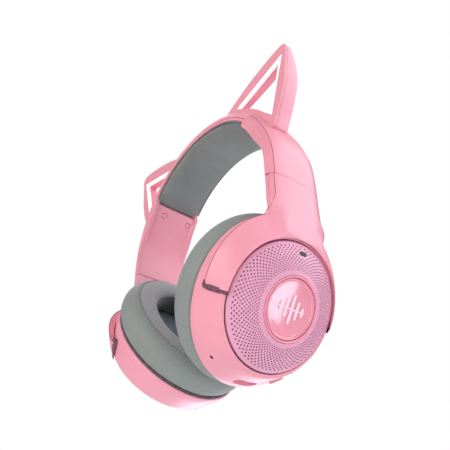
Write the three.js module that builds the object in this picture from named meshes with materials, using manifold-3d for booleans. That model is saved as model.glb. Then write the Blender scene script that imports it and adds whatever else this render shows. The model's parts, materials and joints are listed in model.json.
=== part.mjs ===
// A wireless over-ear gaming headset with cat ears, as an assembly of separate pieces.
//
// Units are millimetres and +Z is up. The origin is where the top of the wearer's head meets the
// middle of the headband pad. -Y is the wearer's front and +X is the wearer's left. The left side
// is modelled once and mirrored in X for the right side, apart from what only one side has.

import * as THREE from "three";
import { mergeVertices } from "three/addons/utils/BufferGeometryUtils.js";
import Module from "manifold-3d";

const wasm = await Module();
wasm.setup();

// ---- driving dimensions -------------------------------------------------------------------------

const GAP = 0.3; // clearance between pieces that touch
const DEG = Math.PI / 180;

// Headband: an arch of circular arc that runs down into two straight arms.
const ARCH_Z = -65; // height of the arch's centre
const ARCH_R = 80.4; // crown of the outer shell
const BAND_HALF = 20.4; // half of the band's width
const ARM_END_Z = -82; // where the headband's arms end and the sliders come out
const COVER_R = 72.4; // inner face of the arms
const COVER_END_R = 68; // inner face where the arm covers meet the pad
const LIP_RISE = 2.4; // height of the rails along the arm covers' edges
const COVER_END = 37; // angle of that meeting line, in degrees above the horizontal
const SPLIT_ARM_R = 75.4; // seam between shell and cover, on the arms
const SPLIT_ARCH_R = 71.9; // the same seam, on the arch
const WALL = 1.9; // moulded wall thickness
const PAD_R = 65; // lowest line of the pad, through the origin
const ARCH_STEP = 9; // angle between two rings of the arch, in degrees

// Slider: a steel plate that slides in the headband's arms.
const SLIDER = { x0: 74.6, x1: 75.6, half: 9, top: -49, bottom: -104 };
const GUIDE = { x0: 74.5, x1: 77.4, half: 12, top: -71, bottom: -81.6 };

// Cat ears, in the XZ plane. The front face is upright.
const EAR_FRONT_Y = -13.4;
const EAR_SPLIT_Y = -11.2; // between the front frame and the back cover
const EAR_BACK_Y = -1.2; // back of the ear at its outer edge
const EAR_BACK_SLOPE = 0.135; // how fast the ear thins towards its inner end
const EAR_TIP_SLOPE = 0.42; // how fast it thins towards its tip
const EAR_TIP_FROM_Z = 10;

// Cup: a frame of its own, +x to the rear, +y up along the cup, +z outward, origin at the grille.
const CUP = { x: 59.05, z: -155, tilt: 31.45 }; // tilt turns the cup's outer face downward
const GRILLE_R = 36;
const CAP_R = 16.6;
const PIVOT_DEPTH = 10; // tilt axis behind the grille plane
const PIN_R = 2.2;
const CUP_GAP = 0.45; // clearance between the cup and the yoke around it
const SEGMENTS = 32; // around a cup
const INNER_SEGMENTS = 20; // around the pieces inside a cup

// The cup shell's outer surface: half width a, half height b, at a depth d behind the grille.
const SHELL = [
  { a: 37.0, b: 37.0, d: 0.3 },
  { a: 38.8, b: 39.4, d: 2 },
  { a: 41.2, b: 43.6, d: 9 },
  { a: 43.4, b: 48.0, d: 16.5 },
  { a: 43.9, b: 49.5, d: 20.3 },
];

// Yoke: a crescent over the upper half of the cup, which grows out of the arm.
const YOKE = {
  inner: 37.4, // radius of its inner edge
  outer: 44.8, // radius of its outer edge at the ends
  rise: 5.5, // how much wider it is at the top
  proud: 1.8, // how far its inner edge stands before the grille plane
  edge: 10, // depth of its outer edge
  back: 13.2, // depth of its back
  end: 4, // angle below the horizontal where it ends, in degrees
  armFrom: 62, // angle where its arm begins, in degrees
};
const ARM_TOP_Z = ARM_END_Z - GAP;
const ARM_X = 80.4;

// ---- solids -------------------------------------------------------------------------------------

const v2 = (x, y) => new THREE.Vector2(x, y);
const v3 = (x, y, z) => new THREE.Vector3(x, y, z);
const mix = (a, b, t) => a + (b - a) * t;
const smooth = (t) => THREE.MathUtils.smoothstep(t, 0, 1);

// Merges the vertices of a closed geometry and turns its faces outward.
function closed(geometry) {
  const bare = geometry.clone();
  bare.deleteAttribute("normal");
  bare.deleteAttribute("uv");
  const merged = mergeVertices(bare, 1e-4);
  const p = merged.attributes.position;
  const index = merged.index.array;
  let volume = 0;
  for (let i = 0; i < index.length; i += 3) {
    const [a, b, c] = [0, 1, 2].map((k) => v3().fromBufferAttribute(p, index[i + k]));
    volume += a.dot(b.cross(c));
  }
  if (volume < 0) {
    for (let i = 0; i < index.length; i += 3) {
      [index[i + 1], index[i + 2]] = [index[i + 2], index[i + 1]];
    }
  }
  return merged;
}

function toManifold(geometry) {
  const g = closed(geometry);
  const mesh = new wasm.Mesh({
    numProp: 3,
    vertProperties: new Float32Array(g.attributes.position.array),
    triVerts: new Uint32Array(g.index.array),
  });
  return new wasm.Manifold(mesh);
}

function fromManifold(manifold) {
  const mesh = manifold.getMesh();
  const position = new Float32Array(mesh.numVert * 3);
  for (let i = 0; i < mesh.numVert; i++) {
    position.set(mesh.vertProperties.subarray(i * mesh.numProp, i * mesh.numProp + 3), i * 3);
  }
  const g = new THREE.BufferGeometry();
  g.setAttribute("position", new THREE.BufferAttribute(position, 3));
  g.setIndex(new THREE.BufferAttribute(mesh.triVerts, 1));
  return g;
}

const cut = (body, ...tools) =>
  fromManifold(tools.reduce((rest, t) => rest.subtract(toManifold(t)), toManifold(body)));
const join = (body, ...more) =>
  fromManifold(more.reduce((sum, t) => sum.add(toManifold(t)), toManifold(body)));

function mesh(name, geometry, material) {
  const made = new THREE.Mesh(closed(geometry), material);
  made.geometry.computeVertexNormals();
  made.name = name;
  return made;
}

// A box between two corners.
function box(x0, y0, z0, x1, y1, z1) {
  const g = new THREE.BoxGeometry(x1 - x0, y1 - y0, z1 - z0);
  return g.translate((x0 + x1) / 2, (y0 + y1) / 2, (z0 + z1) / 2);
}

// A solid of revolution about +z from [radius, z] points that start and end on the axis,
// or that close on themselves.
function turned(points, segments = SEGMENTS) {
  const profile = points.map(([r, z]) => new THREE.Vector2(r, z));
  if (points[0][0] > 0) profile.push(profile[0].clone());
  return new THREE.LatheGeometry(profile, segments).rotateX(Math.PI / 2);
}

// A closed surface over a grid of points, rows by columns. Columns close on themselves, and rows
// do too when the ring is endless; otherwise both end rows are filled.
function skin(rows, endless, section) {
  const columns = rows[0].length;
  const position = rows.flat().flatMap((p) => [p.x, p.y, p.z]);
  const index = [];
  const last = endless ? rows.length : rows.length - 1;
  for (let i = 0; i < last; i++) {
    const next = ((i + 1) % rows.length) * columns;
    for (let j = 0; j < columns; j++) {
      const k = (j + 1) % columns;
      index.push(i * columns + j, i * columns + k, next + k, i * columns + j, next + k, next + j);
    }
  }
  if (!endless) {
    const end = (rows.length - 1) * columns;
    const turn = THREE.ShapeUtils.isClockWise(section);
    for (const [a, b, c] of THREE.ShapeUtils.triangulateShape(section, [])) {
      const [p, q] = turn ? [a, c] : [c, a];
      index.push(p, b, q, end + q, end + b, end + p);
    }
  }
  const g = new THREE.BufferGeometry();
  g.setAttribute("position", new THREE.Float32BufferAttribute(position, 3));
  g.setIndex(index);
  return g;
}

// An oval ring: every profile point {a, b, d} is an ellipse at depth d behind the grille.
function ovalRing(profile, segments = SEGMENTS) {
  const rows = [];
  for (let i = 0; i < segments; i++) {
    const t = (i / segments) * 2 * Math.PI;
    rows.push(profile.map(({ a, b, d }) => v3(a * Math.cos(t), b * Math.sin(t), -d)));
  }
  return skin(rows, true);
}

// An oval plate between two depths.
function ovalPlate(a, b, d0, d1) {
  const g = new THREE.CylinderGeometry(1, 1, d1 - d0, INNER_SEGMENTS).rotateX(Math.PI / 2);
  return g.scale(a, b, 1).translate(0, 0, -(d0 + d1) / 2);
}

// A flat outline in the XY plane, extruded along +z.
function slab(points, depth, holes = []) {
  const shape = new THREE.Shape(points.map(([x, y]) => new THREE.Vector2(x, y)));
  for (const hole of holes) {
    shape.holes.push(new THREE.Path(hole.map(([x, y]) => new THREE.Vector2(x, y))));
  }
  return new THREE.ExtrudeGeometry(shape, { depth, bevelEnabled: false });
}

// A stadium outline centred on the origin, long in x.
function stadium(length, width, steps = 5) {
  const r = width / 2;
  const points = [];
  for (const side of [1, -1]) {
    for (let i = 0; i <= steps; i++) {
      const t = (-90 + (180 * i) / steps) * DEG;
      points.push([side * (length / 2 - r + r * Math.cos(t)), side * r * Math.sin(t)]);
    }
  }
  return points;
}

// ---- materials ----------------------------------------------------------------------------------

const finish = (color, roughness, metalness = 0) =>
  new THREE.MeshStandardMaterial({ color, roughness, metalness });

const PINK = finish(0xf7b1c3, 0.42);
const PINK_INNER = finish(0xf0a2b2, 0.48);
const PINK_GRILLE = finish(0xeda9c6, 0.38);
const PINK_GLOSS = finish(0xf79fb5, 0.12);
const LIGHT = finish(0xfffdf8, 0.3);
const FABRIC = finish(0x8f9793, 0.95);
const PAD = finish(0x767c7a, 0.95);
const MESH_CLOTH = finish(0x68727a, 0.9);
const STEEL = finish(0xb9bcc0, 0.35, 1);
const DARK = finish(0x3a3638, 0.5);
const BOARD = finish(0x2f6b45, 0.6);
const GUIDE_PLASTIC = finish(0xe6e3e0, 0.5);
const BATTERY = finish(0x9aa4b5, 0.4);

// ---- headband -----------------------------------------------------------------------------------

// How far the band's section has changed from the arm's (0) to the arch's (1) at an angle.
const archShare = (degrees) => smooth((Math.min(degrees, 180 - degrees) + 6) / 30);

// A point of the band at radius r and width y. Angles below 0 or over 180 are on the straight arms,
// where each degree stands for a millimetre of length.
function bandPoint(degrees, r, y) {
  if (degrees < 0) return v3(r, y, ARCH_Z + degrees);
  if (degrees > 180) return v3(-r, y, ARCH_Z - (degrees - 180));
  return v3(r * Math.cos(degrees * DEG), y, ARCH_Z + r * Math.sin(degrees * DEG));
}

// Sweeps a band section along the arch. The section is a function of the share above.
function sweepBand(from, to, section, step = ARCH_STEP) {
  const stops = [from];
  for (let t = step * Math.ceil((from + 0.1) / step); t < to - 0.1; t += step) {
    if (t >= 0 && t <= 180) stops.push(t);
  }
  stops.push(to);
  const rows = stops.map((t) => section(archShare(t), t).map(([r, y]) => bandPoint(t, r, y)));
  const flat = section(archShare(from), from).map(([r, y]) => new THREE.Vector2(r, y));
  return skin(rows, false, flat);
}

const splitR = (w) => mix(SPLIT_ARM_R, SPLIT_ARCH_R, w);
const armLength = (z) => z - ARCH_Z; // bandPoint's angle for a height on the straight arm

// The outer shell's outer surface, from its middle to its edge.
const outerLine = (w, grow = 0) => [
  [ARCH_R + grow, 0],
  [mix(80.3, 80.0, w) + grow, 7],
  [mix(79.6, 78.6, w) + grow, mix(13, 14, w)],
  [mix(78.2, 76.3, w) + grow, mix(17.6, 18.6, w)],
  [mix(76.6, 74.2, w) + grow, BAND_HALF + grow],
];

function outerShellSection(w) {
  const half = [
    ...outerLine(w),
    [splitR(w) + GAP, BAND_HALF],
    [splitR(w) + GAP, BAND_HALF - 2],
    [mix(76.2, 74.3, w), BAND_HALF - 2.1],
    [mix(77.6, 76.7, w), mix(13, 14, w)],
    [mix(78.4, 78.1, w), 7],
  ];
  const inner = [[78.5, 0]];
  const mirrored = half.slice(1).map(([r, y]) => [r, -y]).reverse();
  return [...half, ...inner, ...mirrored];
}

// How far the cover's edges stand up beside its inner face at an angle, like two low rails.
const coverLip = (t) => LIP_RISE * smooth((t - 2) / 16) * (1 - 0.4 * smooth((t - 24) / 10));

function coverSection(w, degrees) {
  const inside = mix(COVER_R, COVER_END_R, w);
  const lip = inside - coverLip(degrees);
  const half = [
    [inside, 0],
    [inside, BAND_HALF - 3.6],
    [lip, BAND_HALF - 2.4],
    [lip, BAND_HALF - 1.6],
    [lip + 1.4, BAND_HALF],
    [splitR(w), BAND_HALF],
    [splitR(w), BAND_HALF - 2],
    [inside + WALL, BAND_HALF - 2.1],
    [inside + WALL, 0],
  ];
  const mirrored = half.slice(1, -1).map(([r, y]) => [r, -y]).reverse();
  return [...half, ...mirrored];
}

const carrierSection = () => [
  [69.7, BAND_HALF],
  [SPLIT_ARCH_R, BAND_HALF],
  [SPLIT_ARCH_R, 18],
  [73.8, 18],
  [73.8, -18],
  [SPLIT_ARCH_R, -18],
  [SPLIT_ARCH_R, -BAND_HALF],
  [69.7, -BAND_HALF],
  [69.7, -17],
  [72.3, -16.5],
  [72.3, 16.5],
  [69.7, 17],
];

// The pad sits in the carrier's tray and swells below it. It thins a little at its two ends.
function padSection(w, degrees) {
  const fromEnd = Math.min(degrees - COVER_END, 180 - COVER_END - degrees);
  const sag = mix(3, 0, smooth(fromEnd / 9));
  const half = [
    [72.0, 16.2],
    [69.4, 16.7],
    [69.4, 20.0],
    [68.2, 20.8],
    [Math.min(66.8 + sag, 68.1), 20.2],
    [65.5 + sag, 16.5],
    [PAD_R + 0.2 + sag, 9],
  ];
  return [...half, [PAD_R + sag, 0], ...half.map(([r, y]) => [r, -y]).reverse()];
}

// A cylinder that stands on the band at an angle and width, from one radius to another.
function bandPeg(degrees, y, r0, r1, radius, segments = 12) {
  const g = new THREE.CylinderGeometry(radius, radius, r1 - r0, segments);
  g.translate(0, (r0 + r1) / 2, 0).rotateZ((degrees - 90) * DEG).rotateX(Math.PI / 2);
  return g.translate(0, y, ARCH_Z);
}

const SCREW_ANGLE = 31;
const SCREW_Y = [-9.5, 14];
const SCREW_FACE_R = COVER_R + (COVER_END_R - COVER_R) * archShare(SCREW_ANGLE);

function outerShell() {
  const shell = sweepBand(armLength(ARM_END_Z), 180 - armLength(ARM_END_Z), outerShellSection);
  const pegs = [];
  const holes = [];
  for (const side of [SCREW_ANGLE, 180 - SCREW_ANGLE]) {
    for (const y of SCREW_Y) {
      pegs.push(bandPeg(side, y, 71.4, 77.6, 2.8));
      holes.push(bandPeg(side, y, 71.0, 75.4, 1.2));
    }
  }
  return cut(join(shell, ...pegs), ...holes);
}

function coverScrew(y) {
  const head = bandPeg(SCREW_ANGLE, y, SCREW_FACE_R + 0.15, SCREW_FACE_R + 1.2, 2.2, 16);
  const shank = bandPeg(SCREW_ANGLE, y, SCREW_FACE_R + 1.1, 75.0, 0.9);
  return join(head, shank);
}

function armCover() {
  const cover = sweepBand(armLength(ARM_END_Z), COVER_END - 0.2, coverSection);
  const holes = SCREW_Y.flatMap((y) => [
    bandPeg(SCREW_ANGLE, y, SCREW_FACE_R - 2, SCREW_FACE_R + 1.35, 2.5, 16),
    bandPeg(SCREW_ANGLE, y, SCREW_FACE_R, SCREW_FACE_R + 3, 1.2),
  ]);
  return cut(cover, ...holes);
}

function sliderGuide() {
  const g = GUIDE;
  const block = box(g.x0, -g.half, g.bottom, g.x1, g.half, g.top);
  const half = SLIDER.half + GAP;
  const channel = box(g.x0 - 1, -half, g.bottom - 1, SLIDER.x1 + GAP, half, g.top + 1);
  return cut(block, channel);
}

// ---- cat ears -----------------------------------------------------------------------------------

// The outline's inner edge, tip and outer edge; its foot goes down into the headband's crown.
const EAR_INNER = [[28.1, 11.5], [38.3, 16.6], [53.2, 22.9], [69.9, 27.9], [80.3, 30.3]];
const EAR_TIP = [[88.5, 31.3], [91.8, 30.4], [93.5, 28.2], [93.8, 25]];
const EAR_OUTER = [[91.6, 9.9], [89.2, -4.6], [85.0, -17.6], [80.5, -27.9], [76, -39]];
const EAR_FOOT = [[70, -42], [56, -12], [26, 4]];
const EAR_OUTLINE = [...EAR_INNER, ...EAR_TIP, ...EAR_OUTER, ...EAR_FOOT];
// The opening's corners at its apex, by the outer edge and by the inner end. Between the last two
// it is bounded by a collar that follows the headband's crown.
const EAR_HOLE = { apex: [85.0, 17.5], outer: [72.2, -26.5], inner: [41.2, 5.9] };
const EAR_COLLAR_R = 82.4;
const EAR_COLLAR_ANGLES = [34, 40, 47, 54];
const EAR_LIGHT = { near: 0.2, width: 3.0, depth: 1.2 }; // V-shaped strip beside the opening

// The back of the ear: it thins towards the inner end and towards the tip.
function earBack(x, z) {
  const inward = (75 - x) * 0.955 + (z + 40) * 0.295;
  const towardsTip = Math.max(0, z - EAR_TIP_FROM_Z);
  return EAR_BACK_Y - EAR_BACK_SLOPE * Math.max(0, inward) - EAR_TIP_SLOPE * towardsTip;
}

// Extrudes an outline from one depth to another; the far side may be a function of x and z.
function earSlab(points, y0, y1, holes = []) {
  const g = slab(points, 1, holes);
  const p = g.attributes.position;
  for (let i = 0; i < p.count; i++) {
    const [x, z] = [p.getX(i), p.getY(i)];
    const back = typeof y1 === "function" ? Math.max(y1(x, z), y0 + 1.2) : y1;
    p.setXYZ(i, x, p.getZ(i) > 0.5 ? back : y0, z);
  }
  return g;
}

// The solid that the headband's crown takes up, with clearance.
const bandClearance = () =>
  sweepBand(-2, 95, (w) => {
    const half = [...outerLine(w, GAP), [60, BAND_HALF + GAP]];
    return [...half, ...half.slice(1).map(([r, y]) => [r, -y]).reverse()];
  });

// A V-shaped band along the two upper sides of the opening, between two distances from its edge.
function vOutline(near, far, longer = 0) {
  const apex = new THREE.Vector2(...EAR_HOLE.apex);
  const ends = [EAR_HOLE.inner, EAR_HOLE.outer].map((p) => new THREE.Vector2(...p));
  const along = ends.map((end) => end.clone().sub(apex).normalize());
  const outward = [v2(along[0].y, -along[0].x), v2(-along[1].y, along[1].x)];
  const corner = outward[0].clone().add(outward[1]);
  corner.divideScalar(1 + outward[0].dot(outward[1]));
  const at = (k, distance) =>
    ends[k].clone().addScaledVector(along[k], longer).addScaledVector(outward[k], distance);
  const tip = (distance) => apex.clone().addScaledVector(corner, distance);
  const points = [at(0, near), tip(near), at(1, near), at(1, far), tip(far), at(0, far)];
  return points.map(({ x, y }) => [x, y]);
}

const collar = EAR_COLLAR_ANGLES.map((degrees) => {
  const { x, z } = bandPoint(degrees, EAR_COLLAR_R, 0);
  return [x, z];
});
const holeOutline = [EAR_HOLE.apex, EAR_HOLE.outer, ...collar, EAR_HOLE.inner];

function addEar(group, side, clearance) {
  const { near, width, depth } = EAR_LIGHT;
  const far = near + width;
  const grooveFloor = EAR_FRONT_Y + depth + GAP;
  const groove = earSlab(vOutline(-2, far + GAP, GAP), EAR_FRONT_Y - 1, grooveFloor);
  const opening = earSlab(holeOutline, EAR_FRONT_Y - 5, EAR_BACK_Y + 20);
  const front = earSlab(EAR_OUTLINE, EAR_FRONT_Y, EAR_SPLIT_Y);
  group.add(mesh(side + "_ear_front_frame", cut(front, opening, groove, clearance), PINK_INNER));

  const backFrom = EAR_SPLIT_Y + GAP;
  const back = earSlab(EAR_OUTLINE, backFrom, earBack);
  const tray = earSlab(vOutline(0.6, far - 0.3, 0), backFrom - 1, backFrom + 0.9);
  group.add(mesh(side + "_ear_back_cover", cut(back, opening, tray, clearance), PINK));

  const strip = earSlab(vOutline(near, far), EAR_FRONT_Y, EAR_FRONT_Y + depth);
  group.add(mesh(side + "_ear_light", strip, LIGHT));
  const board = earSlab(vOutline(0.9, far - 0.6, -0.5), backFrom, backFrom + 0.6);
  group.add(mesh(side + "_ear_led_board", board, BOARD));
}

// ---- arm and yoke -------------------------------------------------------------------------------

// The cup's frame as seen from the headset's side: rearward, up along the cup, outward.
const OUT = v3(Math.cos(CUP.tilt * DEG), 0, -Math.sin(CUP.tilt * DEG));
const UP = v3(Math.sin(CUP.tilt * DEG), 0, Math.cos(CUP.tilt * DEG));
const REAR = v3(0, 1, 0);
const CUP_FRAME = new THREE.Matrix4().makeBasis(REAR, UP, OUT).setPosition(CUP.x, 0, CUP.z);

// The space that the cup needs under the yoke: its shell's outer surface, grown by a clearance.
function cupClearance() {
  const grown = SHELL.map(({ a, b, d }) => ({ a: a + CUP_GAP, b: b + CUP_GAP, d: d + 0.1 }));
  const { a, d } = grown[0];
  const profile = [{ a, b: a, d: d - 6 }, { a, b: a, d: d - 0.4 }, ...grown];
  const rows = profile.map((p) =>
    Array.from({ length: SEGMENTS * 2 }, (_, i) => {
      const t = (i / SEGMENTS) * Math.PI;
      return v3(p.a * Math.cos(t), p.b * Math.sin(t), -p.d);
    }),
  );
  return skin(rows, false, rows[0].map(({ x, y }) => v2(x, y)));
}

// The arm's outer and inner planes as depths in the cup's frame.
const armDepth = (y, planeX) => {
  const t = CUP.tilt * DEG;
  return Math.tan(t) * y - (planeX - CUP.x) / Math.cos(t);
};

const yokeOuter = (t) => YOKE.outer + YOKE.rise * Math.sin(Math.max(0, t));
const armHeight = (z) => (ARM_X - CUP.x) * UP.x + (z - CUP.z) * UP.z; // y of the arm's face at z
const ARM_SHELL_X = 74.9; // back of the yoke shell on the arm
const ARM_CROWN = 3.8; // how far the arm's outer face falls away to its edges

// Columns of the yoke run from its inner edge outward. Those in the arm's span go on up the arm.
function yokeColumns(rows, armRows) {
  const columns = [];
  const angles = [];
  for (let t = -YOKE.end; t < YOKE.armFrom; t += 6) angles.push(t);
  for (let t = YOKE.armFrom; t <= 90.1; t += 7) angles.push(t);
  const all = [...angles, ...angles.slice(0, -1).reverse().map((t) => 180 - t)];
  const top = armHeight(ARM_TOP_Z + 8);
  for (const degrees of all) {
    const t = degrees * DEG;
    const column = [];
    for (let i = 0; i <= rows; i++) {
      const r = mix(YOKE.inner, yokeOuter(t), i / rows);
      column.push({ x: r * Math.cos(t), y: r * Math.sin(t), share: i / rows, arm: 0 });
    }
    const inArm = degrees > YOKE.armFrom - 1 && degrees < 181 - YOKE.armFrom;
    if (inArm) {
      const foot = column[rows];
      const across = Math.cos(t) / Math.cos(YOKE.armFrom * DEG);
      for (let i = 1; i <= armRows; i++) {
        const s = i / armRows;
        const x = mix(foot.x, across * BAND_HALF, smooth(Math.min(1, s * 2.2)));
        column.push({ x, y: mix(foot.y, top, s), share: 1, arm: s });
      }
    }
    columns.push(column);
  }
  return columns;
}

// Front of the yoke: a cone from the grille's edge that runs into the arm's outer face.
function yokeFront({ x, y, share, arm }) {
  const acrossArm = Math.min(1, Math.abs(x) / (BAND_HALF + 2.5));
  const onArm = armDepth(y, ARM_X);
  const rim = mix(onArm, Math.max(YOKE.edge, onArm), smooth(acrossArm ** 2));
  const cone = mix(-YOKE.proud, rim, 0.8 * share + 0.2 * share ** 3);
  const face = armDepth(y, ARM_X - ARM_CROWN * Math.min(1, Math.abs(x) / BAND_HALF) ** 3.2);
  return Math.max(mix(cone, face, smooth(arm * 3)), onArm);
}

// Back of the yoke, before the cup's clearance is cut out of it.
function yokeBack({ y, arm }) {
  const onArm = armDepth(y, ARM_SHELL_X);
  return arm > 0 ? onArm : Math.min(YOKE.back, Math.max(onArm, YOKE.edge + 0.5));
}

// Turns the columns into a closed plate between its front and its back.
function columnPlate(columns, front, back) {
  const position = [];
  const ids = columns.map((column) => column.map(() => 0));
  const count = columns.reduce((n, column) => n + column.length, 0);
  columns.forEach((column, i) =>
    column.forEach((p, j) => {
      ids[i][j] = position.length / 3;
      position.push(p.x, p.y, -front(p));
    }),
  );
  columns.forEach((column) => column.forEach((p) => position.push(p.x, p.y, -back(p))));
  const index = [];
  const edges = new Map();
  const face = (a, b, c) => {
    index.push(a, b, c, count + c, count + b, count + a);
    for (const [p, q] of [[a, b], [b, c], [c, a]]) {
      if (!edges.delete(q + "," + p)) edges.set(p + "," + q, [p, q]);
    }
  };
  for (let i = 0; i + 1 < columns.length; i++) {
    const shared = Math.min(columns[i].length, columns[i + 1].length);
    for (let j = 0; j + 1 < shared; j++) {
      const [a, b] = [ids[i][j], ids[i][j + 1]];
      const [c, d] = [ids[i + 1][j + 1], ids[i + 1][j]];
      face(a, b, c);
      face(a, c, d);
    }
  }
  for (const [p, q] of edges.values()) index.push(q, p, count + p, q, count + p, count + q);
  const g = new THREE.BufferGeometry();
  g.setAttribute("position", new THREE.Float32BufferAttribute(position, 3));
  g.setIndex(index);
  return g;
}

// A pin along the tilt axis, on the rear (+1) or the front (-1) side of the cup.
function pivotPeg(side, from, to, radius) {
  const g = new THREE.CylinderGeometry(radius, radius, to - from, 12);
  g.translate(0, (from + to) / 2, 0).rotateZ(-side * 90 * DEG);
  return g.translate(0, 0, -PIVOT_DEPTH);
}

function yokeShell() {
  const plate = columnPlate(yokeColumns(4, 5), yokeFront, yokeBack);
  const holes = [1, -1].map((side) => pivotPeg(side, 36, 43.8, PIN_R + GAP));
  const inCup = cut(plate, cupClearance(), ...holes);
  inCup.applyMatrix4(CUP_FRAME);
  const s = SLIDER;
  const half = s.half + GAP;
  const slot = box(s.x0 - 2, -half, s.bottom - GAP, s.x1 + GAP, half, ARM_TOP_Z + 1);
  const above = box(60, -30, ARM_TOP_Z, 95, 30, ARM_TOP_Z + 40);
  return cut(inCup, slot, above);
}

function yokeCover() {
  const bottom = -107;
  const outline = [
    [-BAND_HALF + 1.2, ARM_TOP_Z],
    [-BAND_HALF + 1.2, bottom + 6],
    [-BAND_HALF + 5, bottom],
    [BAND_HALF - 5, bottom],
    [BAND_HALF - 1.2, bottom + 6],
    [BAND_HALF - 1.2, ARM_TOP_Z],
  ];
  const plate = slab(outline, SLIDER.x0 - GAP - COVER_R).rotateX(90 * DEG).rotateZ(90 * DEG);
  return plate.translate(COVER_R, 0, 0);
}

function addArm(group, side) {
  group.add(mesh(side + "_yoke", yokeShell(), PINK));
  group.add(mesh(side + "_yoke_cover", yokeCover(), PINK_INNER));
  const s = SLIDER;
  const plate = box(s.x0, -s.half, s.bottom, s.x1, s.half, s.top);
  group.add(mesh(side + "_slider_plate", plate, STEEL));
  for (const [name, end] of [["front", -1], ["rear", 1]]) {
    const pin = pivotPeg(end, 36.5, 43.5, PIN_R).applyMatrix4(CUP_FRAME);
    group.add(mesh(side + "_pivot_pin_" + name, pin, STEEL));
  }
}

// ---- cup ----------------------------------------------------------------------------------------

// A frame on the cup shell's surface at an angle around the cup and a depth: +z points outward.
function onShell(degrees, depth) {
  const t = degrees * DEG;
  const i = SHELL.findIndex(({ d }) => d > depth);
  const [p, q] = [SHELL[i - 1], SHELL[i]];
  const s = (depth - p.d) / (q.d - p.d);
  const [a, b] = [mix(p.a, q.a, s), mix(p.b, q.b, s)];
  const along = v3((q.a - p.a) * Math.cos(t), (q.b - p.b) * Math.sin(t), p.d - q.d).normalize();
  const around = v3(-a * Math.sin(t), b * Math.cos(t), 0).normalize();
  const normal = around.clone().cross(along).negate();
  if (normal.dot(v3(Math.cos(t), Math.sin(t), 0)) < 0) normal.negate();
  const second = normal.clone().cross(around);
  const frame = new THREE.Matrix4().makeBasis(around, second, normal);
  return frame.setPosition(a * Math.cos(t), b * Math.sin(t), -depth);
}

const BUTTONS = [
  { name: "power_button", angle: -61, length: 9 },
  { name: "volume_up_button", angle: -44, length: 7 },
  { name: "volume_down_button", angle: -31, length: 7 },
];
const BUTTON = { width: 4.4, depth: 10, proud: 1.2, height: 3.6 };
const PORT = { angle: -87.5, depth: 12, length: 15, width: 7, deep: 2.2 };
// The receptacle in the port: its metal shell, its mouth and the tongue inside it. Its face stands
// a little above the pocket's floor.
const SOCKET = { length: 8.9, width: 3.2, deep: 5, face: -1.7 };
const SOCKET_MOUTH = { length: 8.3, width: 2.6, deep: 4.4 };
const SOCKET_TONGUE = { length: 6.7, width: 0.7, below: 0.8 };
const MIC = { angle: -126, depth: 12, hole: 0.9, capsule: 2 };

const buttonGeometry = ({ angle, length }, grow = 0, up = BUTTON.proud) => {
  const g = slab(stadium(length + 2 * grow, BUTTON.width + 2 * grow), BUTTON.height);
  return g.translate(0, 0, up - BUTTON.height).applyMatrix4(onShell(angle, BUTTON.depth));
};

function shellRing() {
  const inner = [
    { a: 41.7, b: 47.3, d: 20.3 },
    { a: 39.2, b: 41.6, d: 9 },
    { a: 36.8, b: 37.4, d: 3.2 },
    { a: 34, b: 34, d: 3.2 },
    { a: 34, b: 34, d: 1.7 },
    { a: GRILLE_R + GAP, b: GRILLE_R + GAP, d: 1.7 },
    { a: GRILLE_R + GAP, b: GRILLE_R + GAP, d: 0.3 },
  ];
  return ovalRing([...SHELL, ...inner]);
}

// The left cup's shell also holds the charging port, the microphone and the buttons.
function cupShell(isLeft) {
  const pinHoles = [1, -1].map((side) => pivotPeg(side, 35, 46, PIN_R + 0.4));
  const ring = cut(shellRing(), ...pinHoles);
  if (!isLeft) return ring;
  const at = onShell(PORT.angle, PORT.depth);
  const pocket = slab(stadium(PORT.length, PORT.width), 4);
  const wall = slab(stadium(PORT.length + 3, PORT.width + 3), 2.6);
  const mouth = slab(stadium(SOCKET.length + 2 * GAP, SOCKET.width + 2 * GAP), 8);
  const housed = join(ring, wall.translate(0, 0, -3.6).applyMatrix4(at));
  const mic = new THREE.CylinderGeometry(MIC.hole, MIC.hole, 8, 12).rotateX(90 * DEG);
  return cut(
    housed,
    pocket.translate(0, 0, -PORT.deep).applyMatrix4(at),
    mouth.translate(0, 0, -6).applyMatrix4(at),
    mic.applyMatrix4(onShell(MIC.angle, MIC.depth)),
    ...BUTTONS.map((b) => buttonGeometry(b, 0.35, 3)),
    ...BUTTONS.map((b) => buttonGeometry(b, 0.35, -0.2)),
  );
}

const GRILLE_FACE = [[36, 0.2], [33.6, 1.6], [28, 4.3], [22, 6.6], [18.1, 7.9]];
const GRILLE_BACK = [[18.1, 6.5], [22, 5.2], [28, 2.9], [33, 0.4], [34.4, -1.4], [36, -1.4]];
const WINDOW = { y: 30.3, length: 4.4, width: 2.3 };

function grille(isLeft) {
  const panel = turned([...GRILLE_FACE, ...GRILLE_BACK]);
  if (!isLeft) return panel;
  const hole = slab(stadium(WINDOW.length + 0.6, WINDOW.width + 0.6), 20);
  return cut(panel, hole.translate(0, WINDOW.y, -5));
}

// A sound-wave mark: bars of different heights on one thin line.
function emblem() {
  const bars = [[-7.6, 5], [-3.8, 10], [0, 16], [3.8, 10], [7.6, 5]];
  const solids = bars.map(([x, h]) => box(x - 0.9, -h / 2, 0, x + 0.9, h / 2, 0.5));
  return join(box(-9.4, -0.45, 0, 9.4, 0.45, 0.4), ...solids).translate(0, 0, 7.9);
}

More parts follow.
